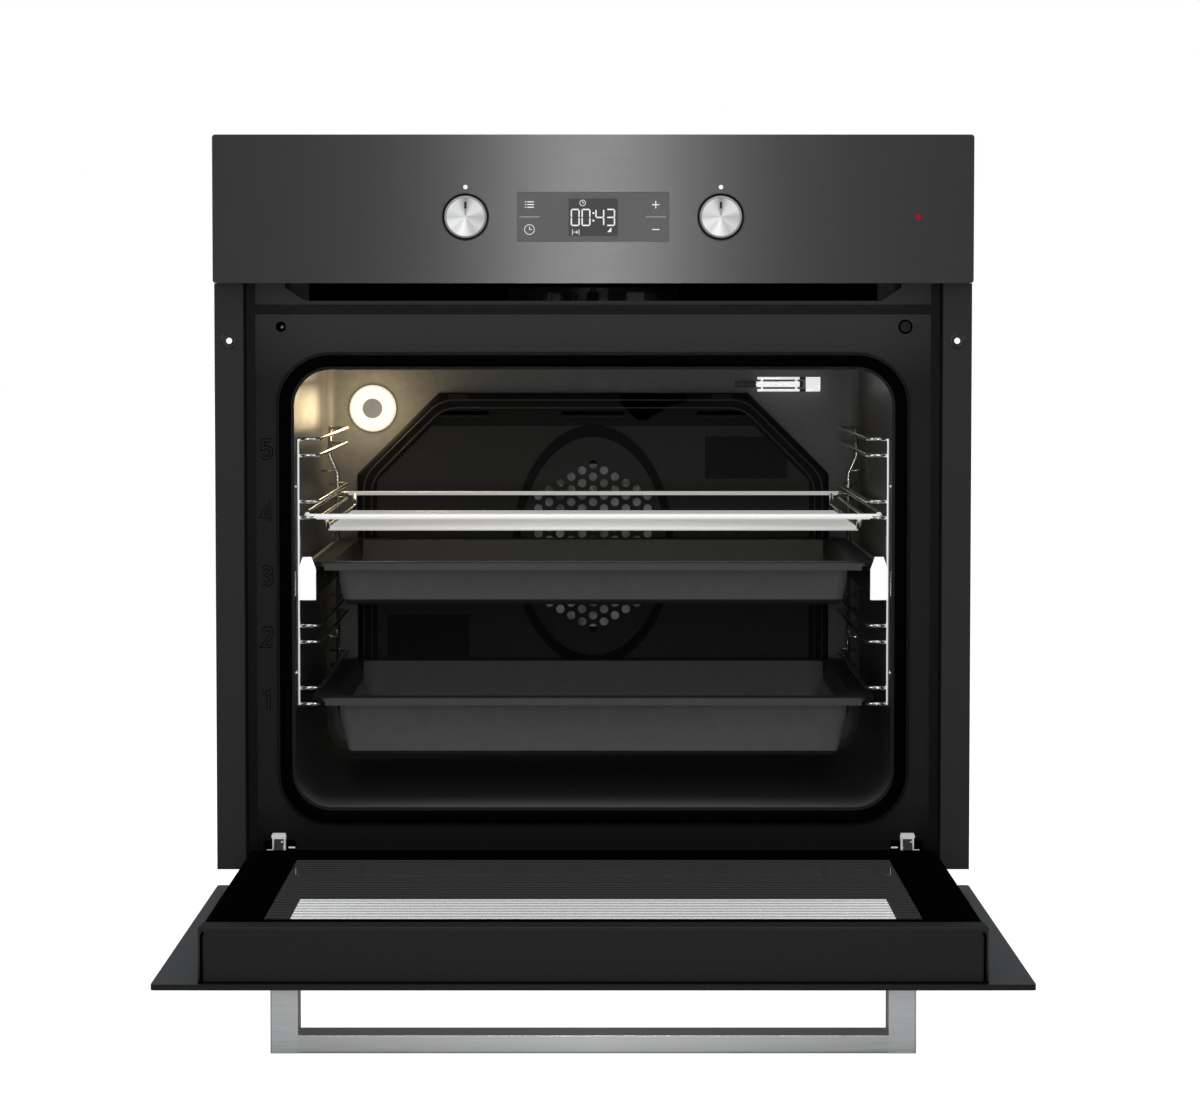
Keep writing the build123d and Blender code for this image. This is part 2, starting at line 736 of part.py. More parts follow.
# Thermostat bulb held in a bracket in front of the rear wall
sensor_y = cavity_rear_y - sensor_standoff
sensor_end = sensor_x0 + sensor_length
plate_x = sensor_end + sensor_radius
sensor_rail_half = sensor_rail_gap / 2
with BuildPart() as thermostat_sensor:
    wire((sensor_x0, sensor_y, sensor_z), (sensor_end, sensor_y, sensor_z), sensor_radius)
    block((plate_x, plate_x + sensor_plate), (sensor_y - sheet, sensor_y + sheet),
          (sensor_z - sensor_plate / 2, sensor_z + sensor_plate / 2))
    block((plate_x + sensor_plate / 3, plate_x + 2 * sensor_plate / 3), (sensor_y, cavity_rear_y),
          (sensor_z - sensor_plate / 4, sensor_z + sensor_plate / 4))
    for side in (-1, 1):
        rail_z = sensor_z + side * sensor_rail_half
        wire((sensor_x0 + sensor_length / 3, sensor_y, rail_z), (plate_x, sensor_y, rail_z), sensor_rail_radius)
    for share in (0.4, 0.9):
        clip_x = sensor_x0 + share * sensor_length
        block((clip_x - sheet, clip_x + sheet), (sensor_y - sheet, sensor_y + sheet),
              (sensor_z - sensor_rail_half, sensor_z + sensor_rail_half))
save(thermostat_sensor, "thermostat_sensor")

# Wire racks: two posts with pegs to the wall and a pair of rungs at each level but the runners'
post_low = level_z(1) - rung_radius
post_high = level_z(max(rung_levels)) + rung_gap + rung_radius
for side, name in ((-1, "left_rack"), (1, "right_rack")):
    with BuildPart() as rack:
        for y in (rack_front_y, rack_rear_y):
            wire((side * rack_post_x, y, post_low), (side * rack_post_x, y, post_high), rack_post_radius)
            for z in (level_z(1) + rung_pitch / 2, level_z(max(rung_levels)) - rung_pitch / 2):
                wire((side * rack_post_x, y, z), (side * cavity_half, y, z), rack_post_radius - wire_bite)
        for level in rung_levels:
            for z in (level_z(level), level_z(level) + rung_gap):
                wire((side * rung_inner_x, rack_front_y - rung_radius, z),
                     (side * rung_inner_x, rack_rear_y + rung_radius, z), rung_radius)
                for y in (rack_front_y, rack_rear_y):
                    wire((side * rack_post_x, y, z), (side * rung_inner_x, y, z), 0.9 * rung_radius)
    save(rack, name)

# Runner rails: channels clipped to the rack posts
runner_outer_x = rack_post_x - rack_post_radius - running_gap
runner_inner_x = runner_outer_x - runner_width
runner_top = level_z(runner_level) + runner_rise
rail_top = runner_top - runner_plate - seat_gap
rail_low = rail_top - runner_height
with BuildPart() as runner_rails:
    for side in (-1, 1):
        block((side * runner_inner_x, side * runner_outer_x), (rack_front_y, rack_rear_y), (rail_low, rail_top))
        block((side * (runner_inner_x + runner_sheet), side * (runner_outer_x - runner_sheet)),
              (rack_front_y, rack_rear_y), (rail_low + runner_sheet, rail_top), mode=Mode.SUBTRACT)
        for y in (rack_front_y, rack_rear_y):
            block((side * runner_outer_x, side * (rack_post_x + rack_post_radius + runner_sheet)),
                  (y, y + math.copysign(rack_post_radius + runner_sheet, -y)), (rail_low, rail_top))
            rod((side * rack_post_x, y, rail_low), (side * rack_post_x, y, rail_top),
                rack_post_radius + running_gap, mode=Mode.SUBTRACT)
save(runner_rails, "runner_rails")

# Runner sliders: keel in the channel, plate under the tray rim, rounded nose plate in front
plate_outer_x = runner_inner_x + runner_plate_width
nose_y = rack_front_y - rack_post_radius - seat_gap
nose_top = runner_top + runner_nose_rise
nose_low = nose_top - runner_nose_height
nose_middle = (runner_inner_x + plate_outer_x) / 2
with BuildPart() as runner_sliders:
    for side in (-1, 1):
        keel_inner_x = side * (runner_inner_x + runner_sheet + seat_gap)
        keel_outer_x = side * (runner_outer_x - runner_sheet - seat_gap)
        block((keel_inner_x, keel_outer_x), (nose_y, rack_rear_y), (rail_low + runner_sheet + seat_gap, runner_top))
        block((side * runner_inner_x, side * runner_outer_x), (nose_y, rack_rear_y),
              (rail_top + seat_gap, runner_top))
        with BuildSketch(facing(nose_y)):
            with BuildLine():
                Polyline((side * nose_middle - runner_nose_width / 2, nose_low),
                         (side * nose_middle + runner_nose_width / 2, nose_low),
                         (side * nose_middle + runner_nose_width / 2, nose_top - runner_nose_taper),
                         (side * nose_middle + runner_nose_width / 4, nose_top),
                         (side * nose_middle - runner_nose_width / 4, nose_top),
                         (side * nose_middle - runner_nose_width / 2, nose_top - runner_nose_taper), close=True)
            make_face()
        extrude(amount=runner_nose_thickness)
save(runner_sliders, "runner_sliders")

# Wire shelf: frame wire, two carriers under it and cross wires
shelf_z = level_z(shelf_level) + rung_radius + seat_gap + shelf_wire
shelf_front_y = rack_front_y + shelf_wire
shelf_rear_y = rack_rear_y - shelf_wire
support_z = shelf_z - shelf_wire - shelf_support_radius + wire_bite
grid_z = support_z - shelf_support_radius - grid_wire + wire_bite
grid_step = (shelf_rear_y - shelf_front_y - grid_front_margin - grid_rear_margin) / (grid_count - 1)
with BuildPart() as wire_shelf:
    bent_wire([(x * shelf_half_width, y, shelf_z) for x, y in (
        (1, shelf_front_y), (1, shelf_rear_y), (-1, shelf_rear_y), (-1, shelf_front_y))],
        shelf_wire, shelf_corner, close=True)
    for side in (-1, 1):
        wire((side * shelf_support_x, shelf_front_y - shelf_wire, support_z),
             (side * shelf_support_x, shelf_rear_y + shelf_wire, support_z), shelf_support_radius)
    for number in range(grid_count):
        y = shelf_front_y + grid_front_margin + number * grid_step
        wire((-shelf_support_x, y, grid_z), (shelf_support_x, y, grid_z), grid_wire)
save(wire_shelf, "wire_shelf")


def baking_tray(rim_z, depth, name):
    """Pressed tray with sloping sides, a flat rim and a turned-down front lip."""
    rim_front_y = rack_front_y
    rim_rear_y = rack_rear_y - seat_gap
    middle_y = (rim_front_y + rim_rear_y) / 2
    rim_length = rim_rear_y - rim_front_y
    mouth = (2 * (tray_half_width - tray_rim), rim_length - 2 * tray_rim)
    with BuildPart() as tray:
        with BuildSketch(Plane.XY.offset(rim_z + tray_rim_thickness)):
            with Locations((0, middle_y)):
                RectangleRounded(*mouth, tray_corner)
        extrude(amount=-depth - tray_rim_thickness, taper=tray_draft)
        with BuildSketch(Plane.XY.offset(rim_z + tray_rim_thickness)):
            with Locations((0, middle_y)):
                RectangleRounded(mouth[0] - 2 * tray_wall, mouth[1] - 2 * tray_wall, tray_corner - tray_wall)
        extrude(amount=tray_wall - depth - tray_rim_thickness, taper=tray_draft, mode=Mode.SUBTRACT)
        fillet(tray.faces().sort_by(Axis.Z)[0].edges(), tray_bottom_radius)
        with BuildSketch(Plane.XY.offset(rim_z)):
            with Locations((0, middle_y)):
                RectangleRounded(2 * tray_half_width, rim_length, tray_corner)
                RectangleRounded(mouth[0] - tray_wall, mouth[1] - tray_wall, tray_corner - tray_wall / 2,
                                 mode=Mode.SUBTRACT)
        extrude(amount=tray_rim_thickness)
        lip_half = rung_inner_x - rung_radius - tray_lip
        block((-lip_half, lip_half), (rim_front_y, rim_front_y + tray_wall),
              (rim_z - tray_lip, rim_z + tray_wall))
    save(tray, name)


baking_tray(runner_top, shallow_depth, "shallow_tray")
baking_tray(level_z(deep_level) + rung_radius + seat_gap, deep_depth, "deep_tray")

# Control panel fascia: folded tray with the knob, display and indicator openings
well_radius = knob_radius + knob_gap
fascia_hole = well_radius + well_wall + running_gap
display_z = control_z
with BuildPart() as control_panel:
    block((-front_width / 2, front_width / 2), (panel_y, carrier_y), (panel_bottom_z, panel_top_z))
    fillet(control_panel.edges().filter_by(Axis.Y), panel_corner)
    inner_half = front_width / 2 - panel_wall
    block((-inner_half, inner_half), (panel_y + panel_wall, carrier_y),
          (panel_bottom_z + panel_wall, panel_top_z - panel_wall), mode=Mode.SUBTRACT)
    for side in (-1, 1):
        for z in (panel_bottom_z + panel_height / 4, panel_top_z - panel_height / 4):
            block((side * boss_x - boss_half, side * boss_x + boss_half), (panel_y, carrier_y),
                  (z - boss_half, z + boss_half))
        drum((side * knob_x, panel_y, control_z), (side * knob_x, panel_y + panel_wall, control_z), fascia_hole,
             mode=Mode.SUBTRACT)
    block((-display_width / 2, display_width / 2), (panel_y, panel_y + panel_wall),
          (display_z - display_height / 2, display_z + display_height / 2), mode=Mode.SUBTRACT)
    rod((indicator_x, panel_y, control_z), (indicator_x, panel_y + panel_wall, control_z),
        indicator_radius + running_gap, mode=Mode.SUBTRACT)
save(control_panel, "control_panel")

# Panel carrier between the fascia and the chassis
carrier_low = panel_bottom_z + panel_wall
carrier_top = panel_fold_z
with BuildPart() as panel_carrier:
    block((-base_half, base_half), (carrier_y, carrier_y + sheet), (carrier_low, carrier_top))
    block((flange - base_half, base_half - flange), (carrier_y, frame_y + flange),
          (carrier_top - sheet, carrier_top))
    for side in (-1, 1):
        block((side * (base_half - sheet), side * base_half), (carrier_y, frame_y + flange),
              (frame_top, carrier_top - 2 * sheet))
        rod((side * knob_x, carrier_y, control_z), (side * knob_x, carrier_y + sheet, control_z),
            sleeve_radius + seat_gap, mode=Mode.SUBTRACT)
save(panel_carrier, "panel_carrier")

# Display glass, its module and the indicator lens
with BuildPart() as display_window:
    block((-display_width / 2 + display_gap, display_width / 2 - display_gap),
          (panel_y + display_gap, panel_y + display_gap + display_glass),
          (display_z - display_height / 2 + display_gap, display_z + display_height / 2 - display_gap))
save(display_window, "display_window")

with BuildPart() as display_module:
    block((-display_width / 2 + display_glass, display_width / 2 - display_glass),
          (panel_y + display_gap + display_glass, carrier_y),
          (display_z - display_height / 2 + display_glass, display_z + display_height / 2 - display_glass))
save(display_module, "display_module")

with BuildPart() as indicator_lens:
    rod((indicator_x, panel_y - seat_gap, control_z), (indicator_x, carrier_y, control_z), indicator_radius)
save(indicator_lens, "indicator_lens")

# Knob wells: cups that take the pushed-in knobs
with BuildPart() as knob_wells:
    for side in (-1, 1):
        drum((side * knob_x, panel_y, control_z), (side * knob_x, carrier_y, control_z), well_radius + well_wall)
        drum((side * knob_x, panel_y, control_z), (side * knob_x, panel_y + well_depth - well_wall, control_z),
             well_radius, mode=Mode.SUBTRACT)
        rod((side * knob_x, panel_y, control_z), (side * knob_x, carrier_y, control_z), sleeve_radius + seat_gap,
            mode=Mode.SUBTRACT)
save(knob_wells, "knob_wells")

# Rotary switches, knob sleeves and knobs
knob_back_y = panel_y - knob_proud + knob_length
switch_y = carrier_y + sheet
for side, name in ((-1, "function"), (1, "temperature")):
    x = side * knob_x
    with BuildPart() as switch:
        block((x - switch_size / 2, x + switch_size / 2), (switch_y, switch_y + switch_depth),
              (control_z - switch_size / 2, control_z + switch_size / 2))
        fillet(switch.edges().filter_by(Axis.Y), panel_corner)
        rod((x, switch_y, control_z), (x, switch_y + switch_depth - panel_corner, control_z),
            sleeve_radius + running_gap, mode=Mode.SUBTRACT)
    save(switch, f"{name}_switch")

    with BuildPart() as sleeve:
        rod((x, knob_back_y, control_z), (x, knob_back_y + sleeve_length, control_z), sleeve_radius)
        rod((x, knob_back_y, control_z), (x, knob_back_y + shaft_length, control_z), shaft_radius + running_gap,
            mode=Mode.SUBTRACT)
    save(sleeve, f"{name}_knob_sleeve")

    with BuildPart() as knob:
        drum((x, panel_y - knob_proud, control_z), (x, knob_back_y, control_z), knob_radius)
        chamfer(knob.faces().sort_by(Axis.Y)[0].edges(), knob_edge)
        rod((x, knob_back_y, control_z), (x, knob_back_y + shaft_length - seat_gap, control_z), shaft_radius)
    save(knob, f"{name}_knob")

# Insulation wrapped round the cavity, behind the hinge receivers
insulation_front_y = base_front_y + hinge_tail_length + flange
insulation_half = cavity_half + cavity_wall + seat_gap
insulation_low = bottom_z - element_radius - seat_gap
insulation_base = sheet
with BuildPart() as insulation:
    block((-insulation_half - insulation_thickness, insulation_half + insulation_thickness),
          (insulation_front_y, cavity_rear_y), (insulation_base, insulation_top))
    block((-insulation_half, insulation_half), (insulation_front_y, cavity_rear_y),
          (insulation_low, insulation_top - insulation_thickness), mode=Mode.SUBTRACT)
save(insulation, "insulation")

# Air duct from the blower to the outlet under the panel
duct_half = cavity_half - duct_margin
duct_rear_y = blower_y - blower_radius
with BuildPart() as cooling_duct:
    block((-duct_half, duct_half), (base_front_y, duct_rear_y), (insulation_top, duct_top))
    block((duct_wall - duct_half, duct_half - duct_wall), (base_front_y, duct_rear_y - duct_wall),
          (insulation_top + duct_wall, duct_top - duct_wall), mode=Mode.SUBTRACT)
    throat_half = blower_radius - blower_wall
    block((-throat_half, throat_half), (duct_rear_y - duct_wall, duct_rear_y),
          (insulation_top + blower_wall, duct_top - blower_wall), mode=Mode.SUBTRACT)
save(cooling_duct, "cooling_duct")

# Blower housing: round casing with a straight throat into the duct and an inlet on top
with BuildPart() as blower_housing:
    with BuildSketch(Plane.XY.offset(insulation_top)):
        with Locations((0, blower_y)):
            RegularPolygon(blower_radius, drum_sides)
        with Locations((0, (duct_rear_y + blower_y) / 2)):
            Rectangle(2 * blower_radius, blower_y - duct_rear_y)
    extrude(amount=duct_height)
    throat = blower_housing.faces().sort_by(Axis.Y)[0]
    offset(amount=-blower_wall, openings=throat)
    drum((0, blower_y, duct_top - 2 * blower_wall), (0, blower_y, duct_top + blower_wall), blower_inlet_radius,
         mode=Mode.SUBTRACT)
save(blower_housing, "blower_housing")

# Blower impeller and its motor on a bracket across the inlet
impeller_low = insulation_top + blower_wall + impeller_gap
shaft_top = duct_top + bracket_thickness + blower_motor_height / 2
with BuildPart() as blower_impeller:
    drum((0, blower_y, impeller_low), (0, blower_y, impeller_low + fan_plate), impeller_radius)
    with BuildSketch(Plane.XY.offset(impeller_low)):
        with Locations((0, blower_y)):
            with PolarLocations(0.85 * impeller_radius, impeller_blades):
                Rectangle(0.25 * impeller_radius, fan_plate, rotation=40)
    extrude(amount=impeller_height)
    rod((0, blower_y, impeller_low), (0, blower_y, shaft_top), blower_shaft_radius)
save(blower_impeller, "blower_impeller")

bracket_half = blower_inlet_radius + bracket_width
with BuildPart() as blower_motor:
    block((-bracket_half, bracket_half), (blower_y - bracket_width / 2, blower_y + bracket_width / 2),
          (duct_top, duct_top + bracket_thickness))
    drum((0, blower_y, duct_top), (0, blower_y, duct_top + bracket_thickness + blower_motor_height),
         blower_motor_radius)
    rod((0, blower_y, duct_top), (0, blower_y, shaft_top + seat_gap), blower_shaft_radius + running_gap,
        mode=Mode.SUBTRACT)
save(blower_motor, "blower_motor")

# Hinge receivers behind the frame
receiver_half = hinge_arm_width / 2 + hinge_play
tail_low = hinge_tail_z - hinge_tail_half
tail_high = hinge_tail_z + hinge_tail_half
tail_end_y = frame_y + hinge_tail_length
with BuildPart() as hinge_receivers:
    for side in (-1, 1):
        middle = side * hinge_x
        block((middle - receiver_half - receiver_wall, middle + receiver_half + receiver_wall),
              (base_front_y, tail_end_y), (tail_low - receiver_wall, tail_high + receiver_wall))
        block((middle - receiver_half, middle + receiver_half), (base_front_y, tail_end_y - receiver_wall),
              (tail_low, tail_high + receiver_wall), mode=Mode.SUBTRACT)
save(hinge_receivers, "hinge_receivers")

# Hinge arms: eye at the pivot, lever up to the frame slot and a tail in the receiver
lead_y = frame_y - hinge_tail_lead
arm_pin_hole = hinge_pin_radius + running_gap / 2
latch_y = frame_y - latch_lead
with BuildPart() as hinge_arms:
    for side in (-1, 1):
        with BuildSketch(Plane.YZ.offset(side * hinge_x)):
            with Locations((pivot_y, pivot_z)):
                Circle(hinge_eye_radius)
            with Locations((lead_y, hinge_tail_z)):
                Circle(hinge_tail_half)
            make_hull()
            with Locations(((lead_y + tail_end_y - 2 * receiver_wall) / 2, hinge_tail_z)):
                Rectangle(tail_end_y - 2 * receiver_wall - lead_y, 2 * hinge_tail_half)
            with Locations((pivot_y, pivot_z)):
                Circle(arm_pin_hole, mode=Mode.SUBTRACT)
            with Locations((latch_y, latch_pin_z)):
                Circle(latch_pin_radius + running_gap, mode=Mode.SUBTRACT)
        extrude(amount=hinge_arm_width / 2, both=True)
save(hinge_arms, "hinge_arms")

# Hinge pins
case_half = receiver_half + hinge_cheek
with BuildPart() as hinge_pins:
    for side in (-1, 1):
        rod((side * hinge_x - case_half, pivot_y, pivot_z), (side * hinge_x + case_half, pivot_y, pivot_z),
            hinge_pin_radius)
save(hinge_pins, "hinge_pins")

# Hinge latches: stirrups that swing forward over the arm to lock the hinge
latch_half = hinge_arm_width / 2 + hinge_play
latch_top = latch_pin_z + latch_height
for side, name in ((-1, "left_hinge_latch"), (1, "right_hinge_latch")):
    middle = side * hinge_x
    with BuildPart() as latch:
        for edge in (-1, 1):
            block((middle + edge * latch_half, middle + edge * (latch_half + latch_wall)),
                  (latch_y - latch_width / 2, latch_y + latch_width / 2),
                  (latch_pin_z - latch_width / 2, latch_top))
        block((middle - latch_half - latch_wall, middle + latch_half + latch_wall),
              (latch_y - latch_width / 2, latch_y + latch_width / 2), (latch_top - latch_wall, latch_top))
        rod((middle - latch_half, latch_y, latch_pin_z), (middle + latch_half, latch_y, latch_pin_z),
            latch_pin_radius)
    save(latch, name)

# Door outer glass
handle_high = door_height - handle_drop
handle_low = handle_high - handle_depth
with BuildPart() as door_outer_glass:
    with BuildSketch(Plane.XY.offset(door_z(0))):
        with Locations((0, door_y(door_height / 2))):
            RectangleRounded(front_width, door_height, glass_corner)
    extrude(amount=outer_glass)
save(door_outer_glass, "door_outer_glass")

# Door columns: hollow side profiles with a ledge for the middle glass and a rebate for the inner glass
column_outer_x = door_body_width / 2
column_web_x = column_outer_x - column_step
rebate_x = column_outer_x - column_lip
shelf_level_depth = door_body_depth - inner_glass
cap_low = door_height - door_cap_setback - door_cap_height
lip_low = door_body_depth - column_lip_height
with BuildPart() as door_columns:
    for side in (-1, 1):
        with BuildSketch(facing(door_y(column_start))):
            outline(*[(side * x, door_z(depth)) for x, depth in (
                (column_inner_x, outer_glass), (column_web_x, outer_glass), (column_web_x, lip_low),
                (column_outer_x, lip_low), (column_outer_x, door_body_depth), (rebate_x, door_body_depth),
                (rebate_x, shelf_level_depth), (column_inner_x, shelf_level_depth),
                (column_inner_x, middle_glass_level), (column_inner_x - column_ledge, middle_glass_level),
                (column_inner_x - column_ledge, middle_glass_level - column_wall),
                (column_inner_x, middle_glass_level - column_wall))])
        extrude(amount=cap_low - column_start)
        block((side * (column_inner_x + column_wall), side * (column_web_x - column_wall)),
              (door_y(column_start), door_y(cap_low)),
              (door_z(outer_glass), door_z(shelf_level_depth - column_wall)), mode=Mode.SUBTRACT)
save(door_columns, "door_columns")

# Door bottom rail between the columns
rail_half = column_inner_x - seat_gap
rail_top_height = column_start + rail_height
with BuildPart() as door_bottom_rail:
    block((-rail_half, rail_half), (door_y(column_start), door_y(rail_top_height)),
          (door_z(outer_glass), door_z(middle_glass_level - column_wall)))
    block((column_ledge - column_inner_x, column_inner_x - column_ledge),
          (door_y(column_start), door_y(column_start + column_wall)),
          (door_z(outer_glass), door_z(shelf_level_depth)))
    block((-rail_half, rail_half), (door_y(column_start), door_y(column_start + column_wall)),
          (door_z(middle_glass_level + seat_gap), door_z(shelf_level_depth)))
    block((column_ledge - column_inner_x, column_inner_x - column_ledge),
          (door_y(column_start + column_wall), door_y(rail_top_height)),
          (door_z(middle_glass_level), door_z(middle_glass_level - column_wall)))
    block((-rail_half, rail_half), (door_y(column_start + column_wall), door_y(rail_top_height - column_wall)),
          (door_z(outer_glass + column_wall), door_z(middle_glass_level - 2 * column_wall)), mode=Mode.SUBTRACT)
save(door_bottom_rail, "door_bottom_rail")

# Door top cap across the whole width
cap_half = door_body_width / 2 + door_cap_margin
cap_high = door_height - door_cap_setback
with BuildPart() as door_top_cap:
    block((-cap_half, cap_half), (door_y(cap_low), door_y(cap_high)),
          (door_z(outer_glass), door_z(door_cap_depth)))
    fillet(door_top_cap.faces().sort_by(Axis.Y)[0].edges().filter_by(Axis.Z), 2 * door_cap_round)
    fillet(door_top_cap.faces().sort_by(Axis.Z)[-1].edges().sort_by(Axis.Y)[0], door_cap_round)
    block((door_cap_wall - cap_half, cap_half - door_cap_wall),
          (door_y(cap_low), door_y(cap_high - 2 * door_cap_wall)),
          (door_z(outer_glass + door_cap_wall), door_z(shelf_level_depth - door_cap_wall)), mode=Mode.SUBTRACT)
save(door_top_cap, "door_top_cap")

# Door middle and inner glass
with BuildPart() as door_middle_glass:
    block((-rail_half, rail_half), (door_y(rail_top_height), door_y(cap_low)),
          (door_z(middle_glass_level), door_z(middle_glass_level + middle_glass)))
save(door_middle_glass, "door_middle_glass")

inner_glass_half = rebate_x - seat_gap
with BuildPart() as door_inner_glass:
    block((-inner_glass_half, inner_glass_half), (door_y(column_start), door_y(cap_low)),
          (door_z(shelf_level_depth), door_z(door_body_depth)))
save(door_inner_glass, "door_inner_glass")

# Hinge cases: channels fixed in the columns, with cheeks that run on the pins
case_low = pivot_rise - hinge_eye_radius - hinge_cheek
case_floor = outer_glass + seat_gap
web_start = pivot_rise + hinge_eye_radius + hinge_cheek
case_high = column_start + hinge_case_length
with BuildPart() as hinge_cases:
    for side in (-1, 1):
        for edge in (-1, 1):
            inner = side * hinge_x + edge * receiver_half
            with BuildSketch(Plane.YZ.offset(inner)):
                outline((door_y(case_low), door_z(case_floor)), (door_y(case_high), door_z(case_floor)),
                        (door_y(case_high), door_z(hinge_case_depth)),
                        (door_y(column_start), door_z(hinge_case_depth)),
                        (door_y(case_low), door_z(pivot_setback + hinge_eye_radius)))
                with Locations((pivot_y, pivot_z)):
                    Circle(hinge_pin_radius + running_gap, mode=Mode.SUBTRACT)
            extrude(amount=hinge_cheek, dir=(edge, 0, 0))
        block((side * hinge_x - case_half, side * hinge_x + case_half), (door_y(web_start), door_y(case_high)),
              (door_z(case_floor), door_z(case_floor + hinge_cheek)))
save(hinge_cases, "hinge_cases")

# Handle: flat bar between two posts
bar_low = door_z(-handle_standoff)
with BuildPart() as handle_bar:
    bar_half = handle_width / 2 - handle_post_width
    block((-bar_half, bar_half), (door_y(handle_low), door_y(handle_high)),
          (bar_low, bar_low + handle_bar_thickness))
    fillet(handle_bar.edges().filter_by(Axis.X), handle_edge)
save(handle_bar, "handle_bar")

with BuildPart() as handle_posts:
    for side in (-1, 1):
        block((side * (handle_width / 2 - handle_post_width), side * handle_width / 2),
              (door_y(handle_low), door_y(handle_high)), (bar_low, door_z(0)))
    outer_edges = handle_posts.edges().filter_by(Axis.Z).group_by(Axis.X)
    fillet(outer_edges[0] + outer_edges[-1], handle_edge)
save(handle_posts, "handle_posts")
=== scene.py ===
"""Looks of the wall oven: finishes for every piece, fine detail in mesh, studio light and camera."""

import json
import math

import bpy
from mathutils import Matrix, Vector


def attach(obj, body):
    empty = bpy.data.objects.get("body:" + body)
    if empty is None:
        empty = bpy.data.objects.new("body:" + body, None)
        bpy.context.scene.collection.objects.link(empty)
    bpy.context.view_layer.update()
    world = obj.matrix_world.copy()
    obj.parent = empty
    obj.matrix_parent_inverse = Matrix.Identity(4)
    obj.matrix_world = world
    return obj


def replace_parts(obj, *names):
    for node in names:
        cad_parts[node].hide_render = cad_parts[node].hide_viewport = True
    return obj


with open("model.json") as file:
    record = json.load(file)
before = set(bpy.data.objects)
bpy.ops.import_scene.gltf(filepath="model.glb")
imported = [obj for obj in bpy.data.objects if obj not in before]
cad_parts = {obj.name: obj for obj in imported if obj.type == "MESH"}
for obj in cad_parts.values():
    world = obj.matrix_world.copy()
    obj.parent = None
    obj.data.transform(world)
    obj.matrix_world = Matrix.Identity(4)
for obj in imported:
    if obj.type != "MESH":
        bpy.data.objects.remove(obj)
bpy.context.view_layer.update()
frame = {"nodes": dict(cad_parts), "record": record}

# Shared sizes in millimetres
MM = 0.001
LEFT_RIGHT = ((-1, "l"), (1, "r"))
PANEL_Y = -295.0
FRAME_Y = -252.0
CONTROL_Z = 513.5
KNOB_X = 99.6
BAFFLE_Y = 175.2
BAFFLE_HALF = 213.0
BAFFLE_TOP = 369.0
BAFFLE_CUT = 73.0
FAN_Z = 231.0


# Shader maths

def math_node(tree, operation, a, b=None):
    """Math node with sockets or numbers as inputs; returns its output."""
    node = tree.nodes.new("ShaderNodeMath")
    node.operation = operation
    for index, value in enumerate((a, b)):
        if value is None:
            continue
        if isinstance(value, (int, float)):
            node.inputs[index].default_value = value
        else:
            tree.links.new(value, node.inputs[index])
    return node.outputs[0]


def times(tree, a, b):
    """Product of two values."""
    return math_node(tree, "MULTIPLY", a, b)


def plus(tree, a, b):
    """Sum of two values."""
    return math_node(tree, "ADD", a, b)


def minus(tree, a, b):
    """Difference of two values."""
    return math_node(tree, "SUBTRACT", a, b)


def larger(tree, a, b):
    """The larger of two values."""
    return math_node(tree, "MAXIMUM", a, b)


def below(tree, value, limit):
    """1 where value is less than limit."""
    return math_node(tree, "LESS_THAN", value, limit)


def above(tree, value, limit):
    """1 where value is greater than limit."""
    return math_node(tree, "GREATER_THAN", value, limit)


def inside(tree, value, low, high):
    """1 where value lies between low and high."""
    return times(tree, above(tree, value, low), below(tree, value, high))


def length(tree, a, b):
    """Length of the vector (a, b)."""
    return math_node(tree, "SQRT", plus(tree, times(tree, a, a), times(tree, b, b)))


def rise(tree, value, low, high):
    """0 at low, 1 at high, even between and held beyond."""
    node = tree.nodes.new("ShaderNodeMapRange")
    tree.links.new(value, node.inputs["Value"])
    node.inputs["From Min"].default_value = low
    node.inputs["From Max"].default_value = high
    return node.outputs["Result"]


def position(tree):
    """X, Y and Z outputs of the piece's own coordinates, in metres."""
    coords = tree.nodes.new("ShaderNodeTexCoord")
    split = tree.nodes.new("ShaderNodeSeparateXYZ")
    tree.links.new(coords.outputs["Object"], split.inputs[0])
    return split.outputs


def absolute(tree, value):
    """Value without its sign."""
    return math_node(tree, "ABSOLUTE", value)


def noise(tree, scale, stretch=(1, 1, 1), detail=4.0):
    """Noise factor over the piece's own coordinates."""
    coords = tree.nodes.new("ShaderNodeTexCoord")
    mapping = tree.nodes.new("ShaderNodeMapping")
    mapping.inputs["Scale"].default_value = stretch
    texture = tree.nodes.new("ShaderNodeTexNoise")
    texture.inputs["Scale"].default_value = scale
    texture.inputs["Detail"].default_value = detail
    tree.links.new(coords.outputs["Object"], mapping.inputs["Vector"])
    tree.links.new(mapping.outputs["Vector"], texture.inputs["Vector"])
    return texture.outputs["Fac"]


def ramp(tree, factor, stops):
    """Colour ramp through (place, grey or colour) stops."""
    node = tree.nodes.new("ShaderNodeValToRGB")
    elements = node.color_ramp.elements
    elements[0].position = stops[0][0]
    elements[1].position = stops[-1][0]
    for place, _ in stops[1:-1]:
        elements.new(place)
    for element, (_, colour) in zip(elements, stops):
        element.color = (*colour, 1) if isinstance(colour, tuple) else (*grey(colour), 1)
    tree.links.new(factor, node.inputs[0])
    return node.outputs[0]


def grey(level):
    """Neutral colour."""
    return (level, level, level)


def shade(colour, factor):
    """Colour made lighter or darker."""
    return tuple(min(1.0, c * factor) for c in colour)


def mix_colours(tree, factor, first, second):
    """Colour mix of a socket with a fixed colour."""
    node = tree.nodes.new("ShaderNodeMix")
    node.data_type = "RGBA"
    tree.links.new(factor, node.inputs["Factor"])
    tree.links.new(first, node.inputs["A"])
    node.inputs["B"].default_value = (*second, 1)
    return node.outputs["Result"]


